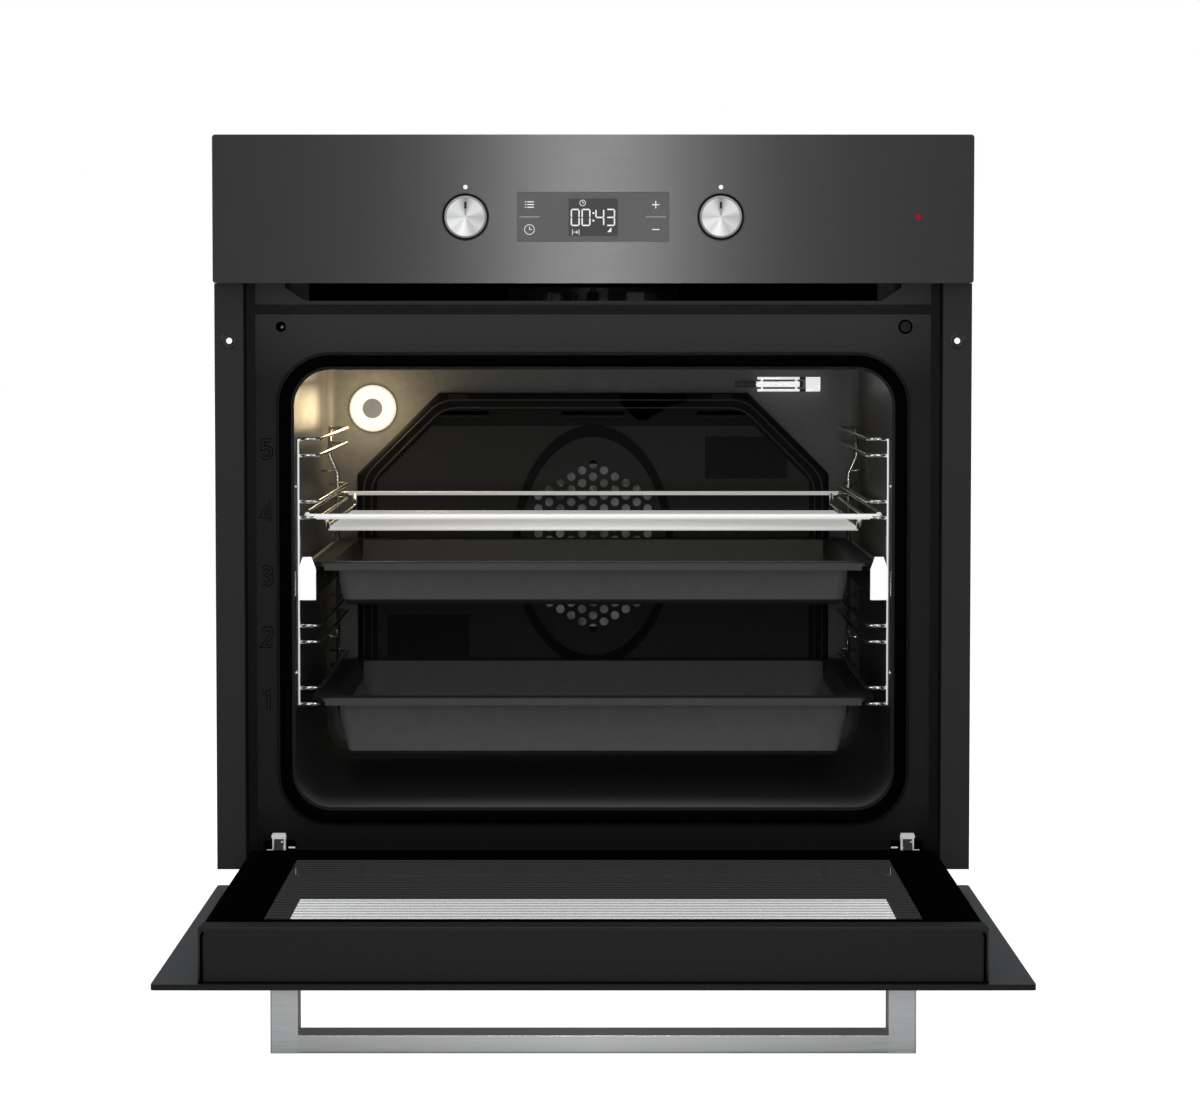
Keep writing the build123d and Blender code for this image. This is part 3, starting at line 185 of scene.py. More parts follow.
def mix_shaders(tree, factor, first, second):
    """Mix of two shader outputs by a socket."""
    node = tree.nodes.new("ShaderNodeMixShader")
    tree.links.new(factor, node.inputs[0])
    tree.links.new(first, node.inputs[1])
    tree.links.new(second, node.inputs[2])
    return node.outputs[0]


# Kinds of material

def new_material(name):
    """Empty node material with its output node."""
    mat = bpy.data.materials.new(name)
    mat.use_nodes = True
    tree = mat.node_tree
    tree.nodes.clear()
    out = tree.nodes.new("ShaderNodeOutputMaterial")
    return mat, tree, out


def finish_material(name, colour, metallic=0.0, roughness=0.4, grain=40.0, stretch=(1, 1, 1), vary=0.12,
                    rough_vary=0.06, bump=0.0, specular=0.5, zones=(), glow=0.0, glow_zone=None):
    """Principled finish that wanders a little with noise; zones are (mask maker, colour)."""
    mat, tree, out = new_material(name)
    bsdf = tree.nodes.new("ShaderNodeBsdfPrincipled")
    factor = noise(tree, grain, stretch)
    tone = ramp(tree, factor, ((0.3, shade(colour, 1 - vary)), (0.7, shade(colour, 1 + vary))))
    bsdf.inputs["Specular IOR Level"].default_value = specular
    for mask, zone_colour in zones:
        spot = mask(tree)
        tone = mix_colours(tree, spot, tone, zone_colour)
        dulled = minus(tree, 1.0, times(tree, spot, 0.8))
        tree.links.new(times(tree, dulled, specular), bsdf.inputs["Specular IOR Level"])
    tree.links.new(tone, bsdf.inputs["Base Color"])
    if glow:
        tree.links.new(tone, bsdf.inputs["Emission Color"])
        bsdf.inputs["Emission Strength"].default_value = glow
        if glow_zone:
            strength = times(tree, glow_zone(tree), glow)
            tree.links.new(strength, bsdf.inputs["Emission Strength"])
    rough = ramp(tree, factor, ((0.3, roughness - rough_vary), (0.7, roughness + rough_vary)))
    tree.links.new(rough, bsdf.inputs["Roughness"])
    bsdf.inputs["Metallic"].default_value = metallic
    if bump:
        node = tree.nodes.new("ShaderNodeBump")
        node.inputs["Strength"].default_value = bump
        node.inputs["Distance"].default_value = 0.0004
        tree.links.new(factor, node.inputs["Height"])
        tree.links.new(node.outputs[0], bsdf.inputs["Normal"])
    tree.links.new(bsdf.outputs[0], out.inputs[0])
    return mat


def glow_material(name, colour, strength, edge=0.85):
    """Soft emitting finish with a slight mottle."""
    mat, tree, out = new_material(name)
    emission = tree.nodes.new("ShaderNodeEmission")
    mottle = ramp(tree, noise(tree, 60.0), ((0.3, shade(colour, edge)), (0.7, colour)))
    tree.links.new(mottle, emission.inputs["Color"])
    emission.inputs["Strength"].default_value = strength
    tree.links.new(emission.outputs[0], out.inputs[0])
    return mat


def channel_shade_material(name, colour, near, far, dark):
    """Satin enamel with painted shade: it falls off to a darker tone between two places along Y, as in a deep
    channel.
    """
    mat, tree, out = new_material(name)
    bsdf = tree.nodes.new("ShaderNodeBsdfPrincipled")
    place = math_node(tree, "DIVIDE", minus(tree, position(tree)[1], near), far - near)
    grain = times(tree, noise(tree, 300.0), 0.12)
    tone = ramp(tree, plus(tree, place, grain), ((0.1, colour), (1.0, dark)))
    tree.links.new(tone, bsdf.inputs["Base Color"])
    bsdf.inputs["Roughness"].default_value = 0.45
    bsdf.inputs["Specular IOR Level"].default_value = 0.2
    tree.links.new(bsdf.outputs[0], out.inputs[0])
    return mat


def pane_material(name, tint, gloss, face, window=None, ink=0.004, shadow=None, lines=None, film=None):
    """Glass pane, clear in its window and inked round it. face is the (low, high) range of Z that shines."""
    mat, tree, out = new_material(name)
    x, y, z = position(tree)
    grain = noise(tree, 9.0)
    side = absolute(tree, x)
    on_face = inside(tree, z, *face)
    clear = tree.nodes.new("ShaderNodeBsdfTransparent")
    clear.inputs["Color"].default_value = (*tint, 1)
    if lines:
        pitch, depth = lines
        phase = math_node(tree, "FRACT", math_node(tree, "DIVIDE", plus(tree, y, 1.0), pitch))
        printed = times(tree, below(tree, phase, 0.5), on_face)
        lined = ramp(tree, printed, ((0.0, tint), (1.0, shade(tint, 1 - depth))))
        tree.links.new(lined, clear.inputs["Color"])
    shine = tree.nodes.new("ShaderNodeBsdfGlossy")
    shine.inputs["Roughness"].default_value = 0.03
    share = ramp(tree, grain, ((0.3, gloss * 0.94), (0.7, gloss * 1.06)))
    shown = mix_shaders(tree, times(tree, share, on_face), clear.outputs[0], shine.outputs[0])
    if film:
        cover, low, high = film
        veil = tree.nodes.new("ShaderNodeBsdfDiffuse")
        tree.links.new(ramp(tree, printed, ((0.0, low), (1.0, high))), veil.inputs["Color"])
        shown = mix_shaders(tree, times(tree, on_face, cover), shown, veil.outputs[0])
    if window:
        half, low, high = window
        border = tree.nodes.new("ShaderNodeBsdfPrincipled")
        border.inputs["Roughness"].default_value = 0.3
        border.inputs["Specular IOR Level"].default_value = 0.3 if shadow else 0.0
        level = grain
        if shadow:
            near, far, front = shadow
            level = math_node(tree, "DIVIDE", minus(tree, side, near), far - near)
            level = times(tree, level, above(tree, y, front))
        tree.links.new(ramp(tree, level, ((0.0, ink * 0.3), (1.0, ink))), border.inputs["Base Color"])
        opening = times(tree, below(tree, side, half), inside(tree, y, low, high))
        shown = mix_shaders(tree, opening, border.outputs[0], shown)
    tree.links.new(shown, out.inputs[0])
    return mat


# Painted highlights of a turned face, as (share of a turn, grey)
SPUN_HIGHLIGHTS = (
    (0.0, 0.52), (0.07, 0.80), (0.14, 0.62), (0.22, 0.92), (0.28, 0.62), (0.33, 0.45), (0.40, 0.60),
    (0.50, 0.42), (0.58, 0.68), (0.66, 0.62), (0.72, 0.38), (0.75, 0.20), (0.78, 0.38), (0.84, 0.62),
    (0.92, 0.66), (1.0, 0.52))


def spun_material(name, centre):
    """Turned metal face: bright and dark sectors round a centre in X and Z as painted highlights, with fine
    rings, and a painted glow.
    """
    mat, tree, out = new_material(name)
    x, _, z = position(tree)
    across = minus(tree, x, centre[0])
    up = minus(tree, z, centre[1])
    turn = math_node(tree, "DIVIDE", math_node(tree, "ARCTAN2", up, across), 2 * math.pi)
    wave = math_node(tree, "SINE", times(tree, length(tree, across, up), 14000.0))
    place = plus(tree, plus(tree, turn, 0.5), times(tree, wave, 0.012))
    sectors = ramp(tree, place, SPUN_HIGHLIGHTS)
    bsdf = tree.nodes.new("ShaderNodeBsdfPrincipled")
    tree.links.new(sectors, bsdf.inputs["Base Color"])
    tree.links.new(sectors, bsdf.inputs["Emission Color"])
    bsdf.inputs["Emission Strength"].default_value = 0.55
    bsdf.inputs["Roughness"].default_value = 0.5
    bsdf.inputs["Specular IOR Level"].default_value = 0.2
    tree.links.new(bsdf.outputs[0], out.inputs[0])
    return mat


# Zones of a tone of their own, in metres

def nose_glow_zone(tree):
    """Front ends of the runners, made bright by a painted glow as their highlight."""
    return below(tree, position(tree)[1], -0.2352)


def behind_baffle_shade_zone(tree):
    """Painted shade on the rear wall behind the baffle, which gets no light."""
    x, y, z = position(tree)
    side = absolute(tree, x)
    flat = times(tree, below(tree, side, 0.205), inside(tree, z, 0.066, 0.362))
    flat = times(tree, flat, below(tree, plus(tree, side, z), 0.497))
    return times(tree, flat, above(tree, y, 0.19))


def groove_shade_zone(tree):
    """Pressed groove across the top of the front frame, painted darker as its shade."""
    return inside(tree, position(tree)[2], 0.4378, 0.4456)


def side_shade_zone(tree):
    """Sides of the front frame, beside the cavity, painted darker as shade."""
    return rise(tree, position(tree)[2], 0.432, 0.385)


def sill_shade_zone(tree):
    """Lower part of the front frame, under the cavity, painted darker as shade."""
    return rise(tree, position(tree)[2], 0.052, 0.022)


def rim_shade_zone(tree):
    """Painted shade on the stepped rim along the top, the sides and the cut corners of the baffle, and on its
    oval bead.
    """
    x, _, z = position(tree)
    side = absolute(tree, x)
    rim_side = minus(tree, side, BAFFLE_HALF * MM - 0.018)
    rim_top = minus(tree, z, BAFFLE_TOP * MM - 0.011)
    rim_cut = minus(tree, plus(tree, side, z), (BAFFLE_HALF + BAFFLE_TOP - BAFFLE_CUT) * MM - 0.024)
    rim = larger(tree, larger(tree, rim_side, rim_top), rim_cut)
    across = math_node(tree, "DIVIDE", x, 0.0725)
    up = math_node(tree, "DIVIDE", minus(tree, z, FAN_Z * MM), 0.109)
    bead = inside(tree, length(tree, across, up), 0.905, 1.002)
    return larger(tree, above(tree, rim, 0.0), bead)


def upper_shade_zone(tree):
    """Upper part of the baffle and its two pressed fields, painted darker as shade."""
    x, _, z = position(tree)
    upper = above(tree, z, 0.3395)
    right = times(tree, inside(tree, x, 0.101, 0.175), inside(tree, z, 0.292, 0.330))
    left = times(tree, inside(tree, x, -0.186, -0.112), inside(tree, z, 0.131, 0.169))
    return larger(tree, upper, larger(tree, right, left))


def bar_top_glow_zone(tree):
    """Upper face of the handle bar, lit by a painted glow."""
    return above(tree, position(tree)[2], -0.0525)


def bar_highlight_zone(tree):
    """Painted highlight that rises from the ends of the handle bar to its middle."""
    return minus(tree, 1.0, times(tree, absolute(tree, position(tree)[0]), 5.0))


def probe_zone(tree):
    """Dark end and dark neck of the thermostat bulb."""
    x = position(tree)[0]
    return larger(tree, below(tree, x, 0.1475), inside(tree, x, 0.1868, 0.1923))


def tray_material(name, tone, bottom, front, rim, glow):
    """Tray enamel with painted shade: darker on the flat rim, the rounded sides and the front bottom edge,
    and on the lip; its glow is painted light.
    """
    def edges(tree):
        x, y, z = position(tree)
        sides = above(tree, absolute(tree, x), 0.2045)
        foot = times(tree, below(tree, z, bottom + 0.0042), below(tree, y, front))
        return larger(tree, sides, foot)

    def lip(tree):
        _, y, z = position(tree)
        return times(tree, below(tree, y, -0.2314), above(tree, z, rim - 0.010))

    def flat_rim_shade(tree):
        return above(tree, position(tree)[2], rim - 0.0007)

    # Painted shade on the rounded sides and the front bottom edge, on the lip and on the flat rim.
    zones = ((edges, (0.020, 0.020, 0.0198)), (lip, (0.085, 0.085, 0.084)),
             (flat_rim_shade, (0.030, 0.030, 0.0297)))
    return finish_material(name, (tone, tone, 0.99 * tone), 0.0, 0.42, 120.0, vary=0.05, specular=0.3,
                           glow=glow, zones=zones)


# Materials of the record's slots
BRUSHED = (0.6, 25, 25)
MATERIALS = {
    "galvanised": finish_material("galvanised", (0.42, 0.43, 0.44), 0.9, 0.42, 90.0, vary=0.08),
    "steel": finish_material("steel", grey(0.55), 1.0, 0.3, 200.0),
    "motor_steel": finish_material("motor_steel", (0.16, 0.165, 0.17), 0.6, 0.5, 120.0),
    "element_steel": finish_material("element_steel", (0.07, 0.065, 0.06), 0.8, 0.45, 150.0),
    "hinge_steel": finish_material("hinge_steel", grey(0.03), 0.7, 0.42, 150.0),
    "chrome": finish_material("chrome", (0.94, 0.93, 0.91), 1.0, 0.20, 80.0, vary=0.02, rough_vary=0.02),
    # Runner steel; the runners' front ends glow as a painted highlight.
    "runner_steel": finish_material("runner_steel", grey(0.97), 1.0, 0.34, 120.0, vary=0.03, glow=0.35,
                                    glow_zone=nose_glow_zone),
    "handle_steel": finish_material("handle_steel", grey(0.68), 1.0, 0.40, 60.0, BRUSHED, vary=0.08,
                                    bump=0.05),
    "panel_steel": finish_material("panel_steel", (0.046, 0.046, 0.0462), 0.0, 0.17, 60.0, (0.5, 30, 30),
                                   vary=0.03, rough_vary=0.02),
    "knob_metal": finish_material("knob_metal", grey(0.42), 1.0, 0.3, 60.0, vary=0.04),
    "black_plastic": finish_material("black_plastic", grey(0.012), 0.0, 0.5, 300.0),
    "cap_plastic": finish_material("cap_plastic", grey(0.013), 0.0, 0.48, 300.0, specular=0.25),
    "seal_rubber": finish_material("seal_rubber", grey(0.0022), 0.0, 0.5, 200.0, specular=0.0),
    "grey_enamel": finish_material("grey_enamel", (0.018, 0.018, 0.0182), 0.0, 0.45, 300.0, vary=0.06,
                                   bump=0.03, specular=0.2),
    "black_metal": finish_material("black_metal", grey(0.0018), 0.0, 0.6, 250.0, specular=0.0),
    # Cavity enamel, near black behind the baffle as painted shade.
    "cavity_enamel": finish_material("cavity_enamel", (0.205, 0.205, 0.201), 0.0, 0.36, 120.0, vary=0.1,
                                     bump=0.05, specular=0.4, zones=((behind_baffle_shade_zone, grey(0.002)),)),
    "tray_enamel": finish_material("tray_enamel", (0.17, 0.17, 0.168), 0.0, 0.42, 120.0, vary=0.06,
                                   specular=0.3),
    "mineral_wool": finish_material("mineral_wool", (0.5, 0.42, 0.22), 0.0, 0.9, 90.0, vary=0.3, bump=0.6),
    "display_glass": finish_material("display_glass", grey(0.175), 0.0, 0.3, 30.0, vary=0.03, rough_vary=0.03,
                                     specular=0.2),
    "red_lens": finish_material("red_lens", (0.42, 0.002, 0.004), 0.0, 0.3, 60.0, specular=0.1, glow=0.3),
    "lamp_glass": glow_material("lamp_glass", (1.0, 0.95, 0.84), 1.15, 0.95),
    "outer_glass": pane_material("outer_glass", (0.97, 0.975, 0.97), 0.06, (-0.03, -0.0165),
                                 window=(0.228, -0.683, -0.330), ink=0.022, shadow=(0.264, 0.297, -0.7538)),
    "inner_glass": pane_material("inner_glass", grey(0.94), 0.06, (0.0203, 0.03),
                                 window=(0.2265, -0.683, -0.380), ink=0.0018, lines=(0.0125, 0.45),
                                 film=(0.075, 0.42, 1.0)),
    "clear_glass": pane_material("clear_glass", (0.98, 0.985, 0.98), 0.04, (0.0035, 0.01)),
}

# Finishes of single pieces
# Front frame enamel, darker on its sides, its sill and its groove as painted shade.
frame_enamel = finish_material(
    "frame_enamel", (0.080, 0.0802, 0.0806), 0.0, 0.45, 300.0, vary=0.06, bump=0.03, specular=0.1,
    zones=((side_shade_zone, (0.030, 0.0301, 0.0303)), (groove_shade_zone, grey(0.022)),
           (sill_shade_zone, (0.014, 0.014, 0.0142))))
# Baffle enamel, darker on its upper part, its pressed fields, its rim and its bead as painted shade.
baffle_enamel = finish_material(
    "baffle_enamel", (0.060, 0.060, 0.059), 0.0, 0.5, 120.0, vary=0.08, bump=0.04, specular=0.15,
    zones=((upper_shade_zone, (0.013, 0.013, 0.0125)), (rim_shade_zone, grey(0.024))))
# Zinc finish, lit further by a painted glow.
latch_zinc_glow = finish_material("latch_zinc_glow", (0.95, 0.94, 0.92), 0.2, 0.4, 150.0, vary=0.06, glow=0.22)
# Glowing wire finish: a painted highlight on the shelf's rear bar and grid.
wire_painted_glow = finish_material("wire_painted_glow", (0.93, 0.91, 0.86), 0.1, 0.5, 150.0, vary=0.03, glow=0.38)
# Glowing chrome: painted glints on the rack posts and the shelf's front bar.
chrome_painted_glint = finish_material("chrome_painted_glint", (0.97, 0.97, 0.96), 0.1, 0.4, 80.0, vary=0.01, glow=0.5)
# The fan glows a little: painted light seen through the baffle's holes.
fan_steel = finish_material("fan_steel", grey(0.30), 0.2, 0.5, 45.0, vary=0.8, glow=0.09)
# Handle bar: a painted highlight towards its middle, and a painted glow on its upper face.
bar_steel = finish_material("bar_steel", grey(0.64), 1.0, 0.40, 60.0, BRUSHED, vary=0.08, bump=0.015,
                            zones=((bar_highlight_zone, grey(0.88)),), glow=0.065, glow_zone=bar_top_glow_zone)
# Both trays glow a little: painted light.
shallow_enamel = tray_material("shallow_enamel", 0.175, 0.2046, -0.2040, 0.2401, 0.005)
deep_enamel = tray_material("deep_enamel", 0.19, 0.0817, -0.2000, 0.1317, 0.03)
# The thermostat bulb glows: a painted highlight.
probe_chrome = finish_material("probe_chrome", (0.97, 0.97, 0.96), 0.6, 0.3, 80.0, vary=0.04, glow=0.5,
                               zones=((probe_zone, (0.02, 0.019, 0.017)),))
# Trims darken deep in their channel: painted shade.
trim_enamel = channel_shade_material("trim_enamel", (0.032, 0.0322, 0.0325), -0.2822, -0.266, grey(0.003))
dark_line = finish_material("dark_line", grey(0.0015), 0.0, 0.6, 200.0, specular=0.0)
OWN_FINISH = {"left_trim": trim_enamel, "right_trim": trim_enamel, "front_frame": frame_enamel,
              "fan_baffle": baffle_enamel, "left_hinge_latch": latch_zinc_glow, "right_hinge_latch": latch_zinc_glow,
              "thermostat_sensor": probe_chrome, "convection_fan": fan_steel, "handle_bar": bar_steel,
              "shallow_tray": shallow_enamel, "deep_tray": deep_enamel, "frame_screw": dark_line}

for entry in frame["record"]["subparts"]:
    node = frame["nodes"][entry["node"]]
    node.data.materials.clear()
    node.data.materials.append(OWN_FINISH.get(entry["node"], MATERIALS[entry["material_slot"]]))


# Mesh helpers, all in millimetres

def piece(name, verts, faces, body, slot, material=None, smooth=False):
    """Mesh piece riding on a body."""
    mesh = bpy.data.meshes.new(name)
    mesh.from_pydata([tuple(c * MM for c in v) for v in verts], [], faces)
    mesh.validate()
    obj = bpy.data.objects.new(name, mesh)
    bpy.context.scene.collection.objects.link(obj)
    mesh.materials.append(material or MATERIALS[slot])
    for polygon in mesh.polygons:
        polygon.use_smooth = smooth
    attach(obj, body)
    return obj


def circle(cx, cz, radius, sides=28):
    """Points round a circle in X and Z."""
    turns = [2 * math.pi * k / sides for k in range(sides)]
    return [(cx + radius * math.cos(turn), cz + radius * math.sin(turn)) for turn in turns]


def join_rings(faces, a, b, sides):
    """Adds the faces between two rings of vertices that start at a and b."""
    for side in range(sides):
        after = (side + 1) % sides
        faces.append((a + side, a + after, b + after, b + side))


def rounded(points, radius, closed=False, steps=5):
    """Path with its corners turned into arcs."""
    points = [Vector(p) for p in points]
    count = len(points)
    path = []
    for index, point in enumerate(points):
        if not closed and index in (0, count - 1):
            path.append(point)
            continue
        before = points[index - 1] - point
        after = points[(index + 1) % count] - point
        half = before.angle(after) / 2
        cut = min(radius / math.tan(half), before.length / 2.01, after.length / 2.01)
        bend = cut * math.tan(half)
        a = point + before.normalized() * cut
        b = point + after.normalized() * cut
        middle = (before.normalized() + after.normalized()).normalized()
        centre = point + middle * (bend / math.sin(half))
        for step in range(steps + 1):
            spoke = (a - centre).lerp(b - centre, step / steps)
            path.append(centre + spoke.normalized() * bend)
    return path


def tube(verts, faces, path, radius, sides=14):
    """Adds a round wire along a path to a mesh being gathered."""
    start = len(verts)
    last = len(path) - 1
    normal = None
    for index, point in enumerate(path):
        tangent = (path[min(index + 1, last)] - path[max(index - 1, 0)]).normalized()
        if normal is None:
            normal = tangent.orthogonal().normalized()
        normal = (normal - tangent * normal.dot(tangent)).normalized()
        other = tangent.cross(normal)
        verts += [point + normal * a + other * b for a, b in circle(0, 0, radius, sides)]
    for index in range(last):
        join_rings(faces, start + index * sides, start + (index + 1) * sides, sides)
    faces.append(tuple(start + side for side in reversed(range(sides))))
    faces.append(tuple(start + last * sides + side for side in range(sides)))


def wires(name, runs, body, slot, material=None):
    """One piece made of wires: each run is (path, radius)."""
    verts, faces = [], []
    for path, radius in runs:
        tube(verts, faces, path, radius)
    return piece(name, verts, faces, body, slot, material, smooth=True)


def straight(start, end, radius):
    """Run of straight wire."""
    return [Vector(start), Vector(end)], radius


def lathe(name, profile, centre, body, slot, material=None, sides=64):
    """Turned piece about an axis along Y: profile is (radius, y) pairs."""
    verts, faces = [], []
    for radius, y in profile:
        verts += [(x, y, z) for x, z in circle(*centre, radius, sides)]
    for row in range(len(profile) - 1):
        join_rings(faces, row * sides, (row + 1) * sides, sides)
    return piece(name, verts, faces, body, slot, material, smooth=True)


def ribbon(verts, faces, points, width, y, thickness, closed=False):
    """Adds a flat stroke in the X-Z plane, its front at y, to a mesh being gathered."""
    pts = [Vector(p) for p in points]
    count = len(pts)
    start = len(verts)
    for index in range(count):
        if closed:
            before = (pts[index] - pts[index - 1]).normalized()
            after = (pts[(index + 1) % count] - pts[index]).normalized()
        else:
            before = pts[index] - pts[max(index - 1, 0)]
            after = pts[min(index + 1, count - 1)] - pts[index]
            before = before.normalized() if before.length else after.normalized()
            after = after.normalized() if after.length else before
        along = (before + after).normalized()
        side = Vector((-along.y, along.x)) * (width / 2) / max(0.5, before.dot(along))
        for place in (pts[index] + side, pts[index] - side):
            verts.append((place.x, y, place.y))
            verts.append((place.x, y + thickness, place.y))
    for index in range(count if closed else count - 1):
        a = start + 4 * index
        b = start + 4 * ((index + 1) % count)
        faces += [(a, a + 2, b + 2, b), (a, b, b + 1, a + 1)]
        faces += [(a + 2, a + 3, b + 3, b + 2), (a + 1, b + 1, b + 3, a + 3)]
    if not closed:
        end = start + 4 * (count - 1)
        faces += [(start, start + 1, start + 3, start + 2), (end, end + 2, end + 3, end + 1)]


def strokes(name, lines, width, y, thickness, body, slot, material):
    """One piece made of flat strokes: each line is (points, closed)."""
    verts, faces = [], []
    for points, closed in lines:
        ribbon(verts, faces, points, width, y, thickness, closed)
    return piece(name, verts, faces, body, slot, material)


def line(*points):
    """Open stroke through (x, z) points."""
    return points, False


def plates(name, outlines, near, far, body, slot, material):
    """One piece made of flat plates between two places along Y: each outline is a list of (x, z) points."""
    verts, faces = [], []
    for points in outlines:
        start, count = len(verts), len(points)
        verts += [(x, y, z) for y in (near, far) for x, z in points]
        faces.append(tuple(start + k for k in range(count)))
        faces.append(tuple(start + count + k for k in reversed(range(count))))
        for k in range(count):
            after = (k + 1) % count
            faces.append((start + k, start + count + k, start + count + after, start + after))
    return piece(name, verts, faces, body, slot, material)


def box_outline(x, z, width, height, cut=0.8):
    """Rectangle about x, z with small cut corners."""
    a, b = width / 2, height / 2
    return [(x - a + cut, z - b), (x + a - cut, z - b), (x + a, z - b + cut), (x + a, z + b - cut),
            (x + a - cut, z + b), (x - a + cut, z + b), (x - a, z + b - cut), (x - a, z - b + cut)]


def screw_heads(name, places, out, body, slot):
    """Domed heads with a cross recess; out is the direction that they face."""
    out = Vector(out)
    across = out.orthogonal().normalized()
    up = out.cross(across)
    verts, faces = [], []
    sides = 16
    profile = ((3.6, 0.0), (3.4, 0.5), (2.2, 0.9), (1.2, 0.95), (0.9, 0.3))
    rows = len(profile) - 1
    for place in places:
        start = len(verts)
        for radius, height in profile:
            for k, (a, b) in enumerate(circle(0, 0, radius, sides)):
                reach = 1.5 if radius < 2 and k % 4 == 0 else 1.0
                verts.append(Vector(place) + out * height + (across * a + up * b) * reach)
        for row in range(rows):
            join_rings(faces, start + row * sides, start + (row + 1) * sides, sides)
        faces.append(tuple(start + rows * sides + k for k in range(sides)))
    return piece(name, verts, faces, body, slot, MATERIALS["steel"])


# Knob faces: turned discs with a bright edge and a pointer
KNOB_FRONT = PANEL_Y - 0.8
KNOB_FACE = KNOB_FRONT - 0.05
FACE_RADIUS = 14.8
knob_rim = finish_material("knob_rim", grey(0.50), 0.0, 0.4, 150.0, vary=0.05)
pointer_ink = finish_material("pointer_ink", grey(0.006), 0.0, 0.5, 200.0)
face_profile = [(0.0, KNOB_FACE), (FACE_RADIUS, KNOB_FACE)]
knob_rim_profile = [(FACE_RADIUS, KNOB_FACE), (15.1, KNOB_FRONT - 0.25), (15.5, KNOB_FRONT - 0.25),
                    (16.45, KNOB_FRONT + 1.0)]
for side, body in ((-1, "function_dial"), (1, "temperature_dial")):
    x = side * KNOB_X
    spun = spun_material(f"{body}_spun", (x * MM, CONTROL_Z * MM))
    lathe(f"{body}_face", face_profile, (x, CONTROL_Z), body, "knob_metal", spun)
    lathe(f"{body}_rim", knob_rim_profile, (x, CONTROL_Z), body, "knob_metal", knob_rim)
    edge = line((x, CONTROL_Z + 5.9), (x, CONTROL_Z + 12.3))
    strokes(f"{body}_pointer_edge", [edge], 2.6, KNOB_FRONT - 0.08, 0.03, body, "knob_metal", knob_rim)
    pointer = line((x, CONTROL_Z + 6.4), (x, CONTROL_Z + 11.8))
    strokes(f"{body}_pointer", [pointer], 1.8, KNOB_FRONT - 0.12, 0.04, body, "black_plastic", pointer_ink)

# Marks on the panel: a white dot over each knob, with a painted glow
white_mark = glow_material("white_mark", grey(0.95), 1.0, 0.97)
grey_mark = glow_material("grey_mark", grey(0.55), 0.9)
dot_profile = [(0.0, PANEL_Y - 0.05), (1.75, PANEL_Y - 0.05), (1.75, PANEL_Y)]
for side, letter in LEFT_RIGHT:
    lathe(f"panel_dot_{letter}", dot_profile, (side * KNOB_X, CONTROL_Z + 23.2), "chassis", "panel_steel",
          white_mark, sides=24)

# Display: screen, clock digits and icons
WINDOW_Y = PANEL_Y + 0.2
SCREEN_Y = WINDOW_Y - 0.05
SCREEN_HALF = 19.2
SCREEN_LOW = -14.9
SCREEN_HIGH = 14.3
DIGIT_X = (-17.0, -8.6, 2.2, 10.6)
DIGIT_WIDTH = 6.0
DIGIT_HEIGHT = 12.4
DIGIT_LOW = -6.6
SEGMENT_GAP = 0.35
SEGMENTS = {"0": "abcdef", "3": "abgcd", "4": "fgbc"}


def at(x, z):
    """Place on the panel, from the middle of the controls."""
    return x, CONTROL_Z + z


def seven_segment(digit, x, z, width, height):
    """Strokes of one display digit with its lower left corner at x, z."""
    middle = z + height / 2
    top, right = z + height, x + width
    ends = {"a": ((x + SEGMENT_GAP, top), (right - SEGMENT_GAP, top)),
            "b": ((right, top - SEGMENT_GAP), (right, middle + SEGMENT_GAP)),
            "c": ((right, middle - SEGMENT_GAP), (right, z + SEGMENT_GAP)),
            "d": ((x + SEGMENT_GAP, z), (right - SEGMENT_GAP, z)),
            "e": ((x, middle - SEGMENT_GAP), (x, z + SEGMENT_GAP)),
            "f": ((x, top - SEGMENT_GAP), (x, middle + SEGMENT_GAP)),
            "g": ((x + SEGMENT_GAP, middle), (right - SEGMENT_GAP, middle))}
    return [line(*ends[name]) for name in SEGMENTS[digit]]


def clock_icon(x, z, radius):
    """Ring with two hands."""
    return [(circle(x, z, radius), True), line((x, z + 0.6 * radius), (x, z), (x + 0.5 * radius, z))]


def screen_marks(name, lines, width):
    """Strokes that lie on the screen."""
    return strokes(name, lines, width, WINDOW_Y - 0.08, 0.03, "chassis", "display_glass", white_mark)


def touch_marks(name, lines, width, material=white_mark):
    """Strokes that lie on the display window beside the screen."""
    return strokes(name, lines, width, WINDOW_Y - 0.06, 0.06, "chassis", "display_glass", material)


lcd_face = finish_material("lcd_face", grey(0.108), 0.0, 0.4, 60.0, vary=0.04, specular=0.15)
screen = [at(-SCREEN_HALF, SCREEN_LOW), at(SCREEN_HALF, SCREEN_LOW),
          at(SCREEN_HALF, SCREEN_HIGH), at(-SCREEN_HALF, SCREEN_HIGH)]
plates("lcd_screen", [screen], SCREEN_Y, WINDOW_Y, "chassis", "display_glass", lcd_face)
lines = []
for digit, x in zip("0043", DIGIT_X):
    lines += seven_segment(digit, x, CONTROL_Z + DIGIT_LOW, DIGIT_WIDTH, DIGIT_HEIGHT)
screen_marks("clock_digits", lines, 1.05)
screen_marks("clock_colon", [line(at(0.2, 2.2), at(0.2, 3.6)), line(at(0.2, -3.6), at(0.2, -2.2))], 1.4)
lines = clock_icon(*at(-8.2, 10.9), 2.2)
lines += [line(at(x, -14.0), at(x, -9.6)) for x in (-16.2, -11.0)]
lines += [line(at(-15.4, -11.8), at(-12.0, -11.8)),
          line(at(-13.4, -10.6), at(-12.0, -11.8), at(-13.4, -13.0))]
screen_marks("lcd_icons", lines, 0.45)
wedge = [at(11.0, -11.8), at(14.2, -11.8), at(14.2, -8.0)]
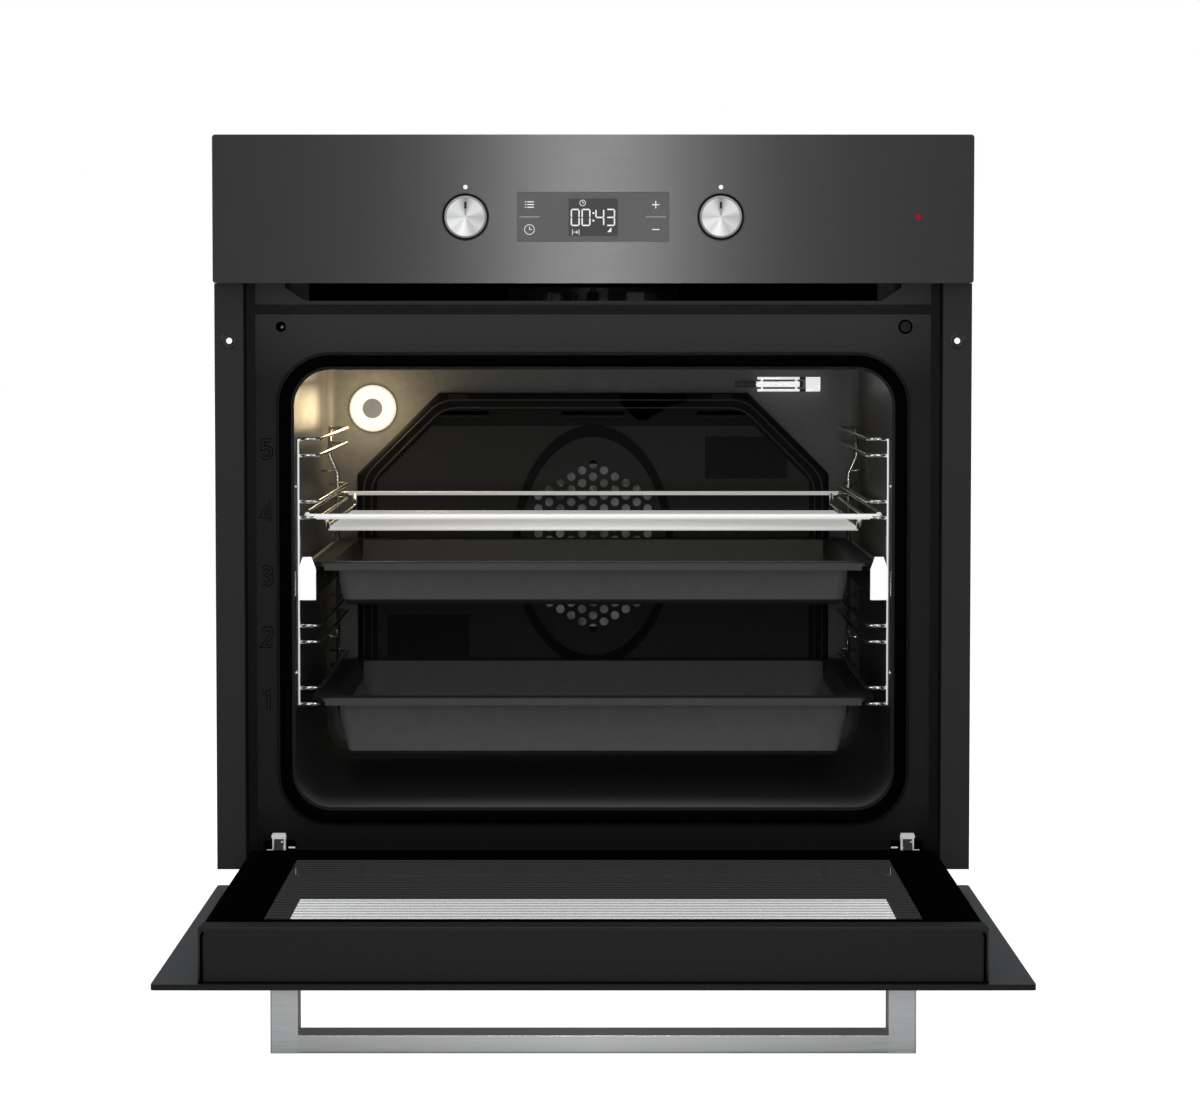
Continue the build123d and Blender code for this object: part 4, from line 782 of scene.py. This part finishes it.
plates("lcd_wedge", [wedge], WINDOW_Y - 0.08, SCREEN_Y, "chassis", "display_glass", white_mark)
lines = []
for z in (7.5, 9.6, 11.7):
    lines += [line(at(-53.2, z), at(-52.2, z)), line(at(-51.4, z), at(-46.2, z))]
lines += [line(at(45.9, 9.5), at(51.7, 9.5)), line(at(48.8, 6.6), at(48.8, 12.4)),
          line(at(45.9, -9.8), at(51.7, -9.8))]
touch_marks("touch_icons", lines, 0.7)
touch_marks("timer_icon", clock_icon(*at(-49.7, -9.8), 3.8), 0.45)
touch_marks("touch_lines", [line(at(-57.4, 0), at(-42.0, 0)), line(at(41.0, 0), at(56.6, 0))], 0.5, grey_mark)

# Level numerals on the frame, each a raised stroke with a dark edge of painted shade
NUMERAL_X = -259.0
NUMERAL_DROP = 7.0
NUMERALS = {
    5: (331.0, [(3.4, 14), (-3.0, 14), (-3.4, 7.6), (0.2, 8.8), (3.2, 7.0), (3.6, 3.6), (1.8, 0.6), (-1.4, 0),
                (-4.0, 2.2)]),
    4: (280.5, [(1.8, 0), (1.8, 14), (-4.2, 4.4), (4.2, 4.4)]),
    3: (230.5, [(-3.6, 12.0), (-0.8, 14), (2.6, 12.8), (3.0, 9.6), (-0.4, 7.6), (3.2, 6.0), (3.6, 2.6),
                (0.2, 0), (-3.8, 2.0)]),
    2: (181.5, [(-3.6, 11.0), (-1.6, 14), (2.2, 13.8), (3.6, 10.6), (2.2, 7.2), (-3.8, 0), (4.0, 0)]),
    1: (131.0, [(-3.2, 11.2), (0.6, 14), (0.6, 0)]),
}
numeral_edge_shade = finish_material("numeral_edge_shade", grey(0.006), 0.0, 0.5, 200.0, specular=0.0)
for level, (z, points) in NUMERALS.items():
    lines = [line(*[(NUMERAL_X + a, z - NUMERAL_DROP + b) for a, b in points])]
    strokes(f"level_{level}_edge", lines, 3.4, FRAME_Y - 0.06, 0.06, "chassis", "grey_enamel", numeral_edge_shade)
    strokes(f"level_{level}", lines, 1.8, FRAME_Y - 0.12, 0.06, "chassis", "grey_enamel", frame_enamel)

# Racks in rounded wire
POST_X = 235.8
REAR_POST_X = POST_X - 7
RUNG_X = 219.6
WALL_X = 243.0
FRONT_Y = -232.8
REAR_Y = 145.2
POST_LOW = 124.7
POST_HIGH = 340.1
POST_RADIUS = 1.8
RUNG_RADIUS = 1.6
LEVEL_Z = 126.3
LEVEL_PITCH = 49.8
RUNG_GAP = 13.0
for side, name in ((-1, "left_rack"), (1, "right_rack")):
    rear_post = rounded([(side * POST_X, REAR_Y, POST_HIGH), (side * POST_X, REAR_Y, 314),
                         (side * REAR_POST_X, REAR_Y, 298), (side * REAR_POST_X, REAR_Y, POST_LOW)], 10)
    runs = [(rear_post, POST_RADIUS)]
    for z in (151.2, 300.6):
        runs.append(straight((side * REAR_POST_X, REAR_Y, z), (side * WALL_X, REAR_Y, z), RUNG_RADIUS))
        runs.append(straight((side * POST_X, FRONT_Y, z), (side * WALL_X, FRONT_Y, z), RUNG_RADIUS))
    for level in (1, 2, 4, 5):
        for gap in (0.0, RUNG_GAP):
            z = LEVEL_Z + LEVEL_PITCH * (level - 1) + gap
            rung = rounded([(side * POST_X, FRONT_Y, z), (side * RUNG_X, FRONT_Y, z),
                            (side * RUNG_X, REAR_Y, z), (side * POST_X, REAR_Y, z)], 9.0)
            runs.append((rung, RUNG_RADIUS))
    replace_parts(wires(f"{name}_wires", runs, "chassis", "chrome"), name)
    post = straight((side * POST_X, FRONT_Y, POST_LOW), (side * POST_X, FRONT_Y, POST_HIGH), POST_RADIUS)
    wires(f"{name}_post", [post], "chassis", "chrome")
    # A thin glowing wire in front of each post: a painted glint.
    shine_x = side * (POST_X - 0.5)
    shine = straight((shine_x, FRONT_Y - 1.5, 126.0), (shine_x, FRONT_Y - 1.5, 338.8), 0.7)
    wires(f"{name}_post_shine", [shine], "chassis", "chrome", chrome_painted_glint)

# Wire shelf in rounded wire
SHELF_HALF = 229.0
SHELF_Z = 280.1
SHELF_FRONT_Y = -230.3
SHELF_FRONT_Z = 276.6
SHELF_REAR_Y = 142.7
CARRIER_X = 213.0
GRID_Z = 266.0
GRID_WIRES = 20
GRID_FRONT_Y = -212.0
GRID_DEPTH = 294.0
path = rounded([(-SHELF_HALF, SHELF_FRONT_Y, SHELF_FRONT_Z), (-SHELF_HALF, -214, SHELF_Z),
                (-SHELF_HALF, SHELF_REAR_Y, SHELF_Z), (SHELF_HALF, SHELF_REAR_Y, SHELF_Z),
                (SHELF_HALF, -214, SHELF_Z), (SHELF_HALF, SHELF_FRONT_Y, SHELF_FRONT_Z)], 12, False, 6)
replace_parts(wires("wire_shelf_frame", [(path, 1.7)], "shelf", "chrome"), "wire_shelf")
path = rounded([(-SHELF_HALF, -224, 277.9), (-SHELF_HALF, SHELF_FRONT_Y, SHELF_FRONT_Z),
                (SHELF_HALF, SHELF_FRONT_Y, SHELF_FRONT_Z), (SHELF_HALF, -224, 277.9)], 5)
# The front bar glows: a painted highlight.
wires("wire_shelf_front", [(path, 2.2)], "shelf", "chrome", chrome_painted_glint)
rear_bar = straight((-222, 142.6, 280.2), (222, 142.6, 280.2), 1.8)
# The rear bar and the grid glow: painted highlights.
wires("wire_shelf_rear", [rear_bar], "shelf", "chrome", wire_painted_glow)
runs = []
for x in (-CARRIER_X, CARRIER_X):
    runs.append((rounded([(x, -229.5, 275.4), (x, -223, 268), (x, 136, 268), (x, 142.2, 279)], 5), 2.2))
wires("wire_shelf_carriers", runs, "shelf", "chrome")
runs = []
for number in range(GRID_WIRES):
    y = GRID_FRONT_Y + number * GRID_DEPTH / (GRID_WIRES - 1)
    runs.append(straight((-CARRIER_X, y, GRID_Z), (CARRIER_X, y, GRID_Z), 1.5))
wires("wire_shelf_grid", runs, "shelf", "chrome", wire_painted_glow)

# Round edges of the baffle's suction holes
HOLE_PITCH = 11.4
HOLE_COLUMNS = 5
HOLE_ROWS = 14
HOLE_SIDES = 20
HOLE_PROFILE = ((5.0, BAFFLE_Y - 0.05), (3.95, BAFFLE_Y - 0.2), (3.8, BAFFLE_Y + 0.1), (3.8, BAFFLE_Y + 1.0))
verts, faces = [], []
for column in range(-HOLE_COLUMNS, HOLE_COLUMNS + 1):
    rows = HOLE_ROWS - abs(column)
    for row in range(rows):
        cx = column * HOLE_PITCH * math.sqrt(3) / 2
        cz = FAN_Z + (row - (rows - 1) / 2) * HOLE_PITCH
        start = len(verts)
        for radius, y in HOLE_PROFILE:
            verts += [(x, y, z) for x, z in circle(cx, cz, radius, HOLE_SIDES)]
        for ring in range(len(HOLE_PROFILE) - 1):
            join_rings(faces, start + ring * HOLE_SIDES, start + (ring + 1) * HOLE_SIDES, HOLE_SIDES)
piece("baffle_hole_edges", verts, faces, "chassis", "cavity_enamel", baffle_enamel, smooth=True)

# Lamp: frosted disc in the middle of the glowing lens, and a warm rim
LAMP = (-200.0, 355.0)
lamp_disc = glow_material("lamp_disc", (0.50, 0.45, 0.35), 0.62)
disc_profile = [(0.0, 192.95), (8.4, 192.95), (8.9, 193.2)]
lathe("lamp_disc", disc_profile, LAMP, "chassis", "lamp_glass", lamp_disc, sides=40)
lamp_rim = glow_material("lamp_rim", (1.0, 0.82, 0.42), 0.95)
rim_profile = [(19.9, 196.9), (20.9, 198.2), (21.1, 201.9), (20.9, 202.0)]
lathe("lamp_rim", rim_profile, LAMP, "chassis", "lamp_glass", lamp_rim, sides=48)

# Screw cups in the trims
screw_cup = finish_material("screw_cup", grey(0.012), 0.0, 0.3, 90.0)
cup_profile = [(2.4, -283.0), (4.0, -283.5), (5.4, -283.6), (6.3, -283.0)]
for side, letter in LEFT_RIGHT:
    lathe(f"screw_cup_{letter}", cup_profile, (side * 285.5, 417.0), "chassis", "grey_enamel", screw_cup,
          sides=32)

# Dark rings round the frame's screw and plug, and a painted highlight on the screw
for (side, letter), inner, outer in zip(LEFT_RIGHT, (3.3, 4.3), (3.9, 5.5)):
    ring_profile = [(inner, FRAME_Y - 0.85), (outer, FRAME_Y - 0.5), (outer + 0.2, FRAME_Y)]
    lathe(f"frame_ring_{letter}", ring_profile, (side * 247.3, 428.0), "chassis", "grey_enamel", dark_line,
          sides=32)
screw_glint = finish_material("screw_glint", grey(0.30), 0.2, 0.4, 150.0)
glint_profile = [(0.0, FRAME_Y - 0.82), (1.0, FRAME_Y - 0.86), (1.2, FRAME_Y - 0.8)]
lathe("frame_screw_glint", glint_profile, (-246.2, 427.8), "chassis", "hinge_steel", screw_glint, sides=16)

# Joints between the door cap and its end pieces
CAP_Y = -747.0
CAP_FOOT_Z = -12.6
for side, letter in LEFT_RIGHT:
    joint = line((side * 263.4, CAP_FOOT_Z), (side * 263.4, 19.0), (side * 262.0, 21.0))
    strokes(f"cap_joint_{letter}", [joint], 1.8, CAP_Y - 0.06, 0.06, "door", "cap_plastic", dark_line)
foot = line((-266.0, CAP_FOOT_Z), (266.0, CAP_FOOT_Z))
strokes("cap_foot", [foot], 0.8, CAP_Y - 0.05, 0.05, "door", "cap_plastic", dark_line)

# Hinge latches: bright front plate, spring end inside the bow and bright edges of the frame slot, all with a
# painted glow
LATCH_X = 250.0
for side, name in ((-1, "left_latch"), (1, "right_latch")):
    x = side * LATCH_X
    plate = box_outline(x, 23.4, 11.6, 4.0, 1.2)
    plates(f"{name}_plate", [plate], -262.3, -261.6, name, "chrome", latch_zinc_glow)
    spring = [box_outline(x - 1.4, 17.0, 3.4, 3.6, 0.4), box_outline(x + 2.2, 15.4, 1.8, 1.2, 0.3),
              box_outline(x + 2.6, 19.2, 1.4, 1.4, 0.3)]
    plates(f"{name}_arm_edges", spring, -264.6, -263.6, "chassis", "chrome", latch_zinc_glow)
    # A dark plate over the frame slot: painted shade.
    slot = box_outline(x, 14.5, 26.0, 9.0, 1.5)
    plates(f"{name}_slot", [slot], FRAME_Y - 0.1, FRAME_Y, "chassis", "hinge_steel", dark_line)
    edges = [box_outline(x - side * 9.6, 13.4, 5.4, 1.3, 0.4),
             box_outline(x + side * 8.2, 11.2, 4.6, 1.2, 0.4)]
    plates(f"{name}_slot_edges", edges, FRAME_Y - 0.6, FRAME_Y - 0.1, "chassis", "chrome", latch_zinc_glow)

# Baffle: lips under the outlet slots with dark plates of painted shade over them, two screw tabs, the pressed
# notch as a dark plate of painted shade, and painted highlights along the rim
BORDER_Y = 173.7
SLOT_X = (-122.0, 0.0, 122.0)
RIM_LOW = 70.0
slot_lip = finish_material("slot_lip", (0.036, 0.036, 0.0355), 0.0, 0.5, 120.0, specular=0.1)
lips = [box_outline(x, 348.3, 55.0, 1.8, 0.6) for x in SLOT_X]
plates("baffle_slot_lips", lips, BAFFLE_Y - 0.3, BAFFLE_Y, "chassis", "cavity_enamel", slot_lip)
# Dark plates over the outlet slots: painted shade.
shades = [box_outline(x, 351.2, 55.0, 3.6, 1.2) for x in SLOT_X]
plates("baffle_slot_shades", shades, BAFFLE_Y - 0.2, BAFFLE_Y, "chassis", "cavity_enamel", dark_line)
tabs = [box_outline(x, 364.6, 17.0, 7.0, 0.8) for x in (-122.0, 116.0)]
plates("baffle_tabs", tabs, BORDER_Y - 0.3, 174.6, "chassis", "cavity_enamel", slot_lip)
# The pressed notch is a dark plate: painted shade.
notch = [(40, 345), (48, 345), (70, 358), (84, 361), (84, 368), (24, 368), (24, 361)]
plates("baffle_notch", [notch], BORDER_Y - 0.2, 174.2, "chassis", "cavity_enamel", dark_line)
# Thin wires of a lighter tone along the rim: painted highlights.
rim_highlight = finish_material("rim_highlight", (0.11, 0.11, 0.108), 0.0, 0.4, 120.0, specular=0.2)
runs = []
for inset in (6.0, 13.0):
    half = BAFFLE_HALF - inset
    top = BAFFLE_TOP - inset
    reach = BAFFLE_HALF + BAFFLE_TOP - BAFFLE_CUT - inset * math.sqrt(2)
    corners = [(-half, RIM_LOW), (-half, reach - half), (top - reach, top), (reach - top, top),
               (half, reach - half), (half, RIM_LOW)]
    runs.append((rounded([(x, BORDER_Y + 0.2, z) for x, z in corners], 30.0), 0.7))
wires("baffle_rim_highlights", runs, "chassis", "cavity_enamel", rim_highlight)

# Cover screws at the back, the sides and the top
REAR_COVER_Y = 252.0
SIDE_PANEL_X = 278.0
TOP_COVER_Z = 571.0
places = [(x, REAR_COVER_Y, z) for x in (-270, 270) for z in (24, 200, 380, 556)]
places += [(x, REAR_COVER_Y, 560) for x in (-120, 120)]
screw_heads("rear_screws", places, (0, 1, 0), "chassis", "steel")
for side, letter in LEFT_RIGHT:
    places = [(side * SIDE_PANEL_X, y, z) for y in (-236, 240) for z in (30, 300, 548)]
    screw_heads(f"side_screws_{letter}", places, (side, 0, 0), "chassis", "steel")
places = [(x, y, TOP_COVER_Z) for x in (-266, 0, 266) for y in (-238, 240)]
screw_heads("top_screws", places, (0, 0, 1), "chassis", "steel")

# Studio floor, in metres: pale, with the shadow kept
FLOOR_Z = -0.066
floor_mat, tree, out = new_material("floor")
diffuse = tree.nodes.new("ShaderNodeBsdfDiffuse")
tree.links.new(ramp(tree, noise(tree, 2.0), ((0.3, 0.80), (0.7, 0.82))), diffuse.inputs["Color"])
glow = tree.nodes.new("ShaderNodeEmission")
glow.inputs["Color"].default_value = (*grey(1), 1)
light_path = tree.nodes.new("ShaderNodeLightPath")
seen = larger(tree, light_path.outputs["Is Camera Ray"], light_path.outputs["Is Transmission Ray"])
tree.links.new(times(tree, seen, 0.92), glow.inputs["Strength"])
add = tree.nodes.new("ShaderNodeAddShader")
tree.links.new(diffuse.outputs[0], add.inputs[0])
tree.links.new(glow.outputs[0], add.inputs[1])
tree.links.new(add.outputs[0], out.inputs[0])
mesh = bpy.data.meshes.new("floor")
corners = [(-14, -6, FLOOR_Z), (14, -6, FLOOR_Z), (14, 30, FLOOR_Z), (-14, 30, FLOOR_Z)]
mesh.from_pydata(corners, [], [(0, 1, 2, 3)])
floor = bpy.data.objects.new("floor", mesh)
mesh.materials.append(floor_mat)
bpy.context.scene.collection.objects.link(floor)

# Backdrop: white where it is seen, a weak cool fill as light
world = bpy.data.worlds.new("studio")
bpy.context.scene.world = world
world.use_nodes = True
tree = world.node_tree
tree.nodes.clear()
out = tree.nodes.new("ShaderNodeOutputWorld")
backdrop = tree.nodes.new("ShaderNodeBackground")
backdrop.inputs["Color"].default_value = (*grey(1), 1)
fill = tree.nodes.new("ShaderNodeBackground")
fill.inputs["Color"].default_value = (0.9, 0.95, 1, 1)
fill.inputs["Strength"].default_value = 0.20
light_path = tree.nodes.new("ShaderNodeLightPath")
seen = mix_shaders(tree, light_path.outputs["Is Camera Ray"], fill.outputs[0], backdrop.outputs[0])
tree.links.new(seen, out.inputs[0])


# Lights, in metres

def softbox(name, place, target, size, power):
    """Rectangular area light aimed at a point."""
    data = bpy.data.lights.new(name, "AREA")
    data.shape = "RECTANGLE"
    data.size, data.size_y = size
    data.energy = power
    obj = bpy.data.objects.new(name, data)
    obj.location = place
    obj.rotation_euler = (Vector(target) - Vector(place)).to_track_quat("-Z", "Y").to_euler()
    bpy.context.scene.collection.objects.link(obj)
    return obj


softbox("strip", (0, -3.5, 0.65), (0, 0, 0.45), (0.16, 1.2), 9)
softbox("left", (-2.6, -1.6, 1.6), (0, -0.2, 0.2), (1.4, 1.4), 14)
softbox("right", (2.6, -1.6, 1.6), (0, -0.2, 0.2), (1.4, 1.4), 14)
softbox("top", (0, -0.9, 2.4), (0, -0.3, 0), (1.6, 1.6), 14)
lamp = bpy.data.lights.new("oven_lamp", "POINT")
lamp.energy = 0.13
lamp.color = (1, 0.76, 0.42)
lamp.shadow_soft_size = 0.02
lamp_object = bpy.data.objects.new("oven_lamp", lamp)
lamp_object.location = (LAMP[0] * MM, 0.176, LAMP[1] * MM)
bpy.context.scene.collection.objects.link(lamp_object)

# Camera at the photograph's place: its width, focal length and middle in pixels
PHOTO_WIDTH = 1200
FOCAL_LENGTH = 3913.9
PHOTO_CENTRE = 592.4
SENSOR_WIDTH = 36.0
TILT_DOWN = 3.242
camera_data = bpy.data.cameras.new("camera")
camera_data.sensor_width = SENSOR_WIDTH
camera_data.lens = FOCAL_LENGTH / PHOTO_WIDTH * SENSOR_WIDTH
camera_data.shift_x = (PHOTO_WIDTH / 2 - PHOTO_CENTRE) / PHOTO_WIDTH
camera = bpy.data.objects.new("camera", camera_data)
camera.location = (-0.0006, -3.3568, 0.4221)
camera.rotation_euler = (math.radians(90 - TILT_DOWN), 0, 0)
bpy.context.scene.collection.objects.link(camera)
bpy.context.scene.camera = camera
bpy.context.scene.view_settings.view_transform = "Standard"
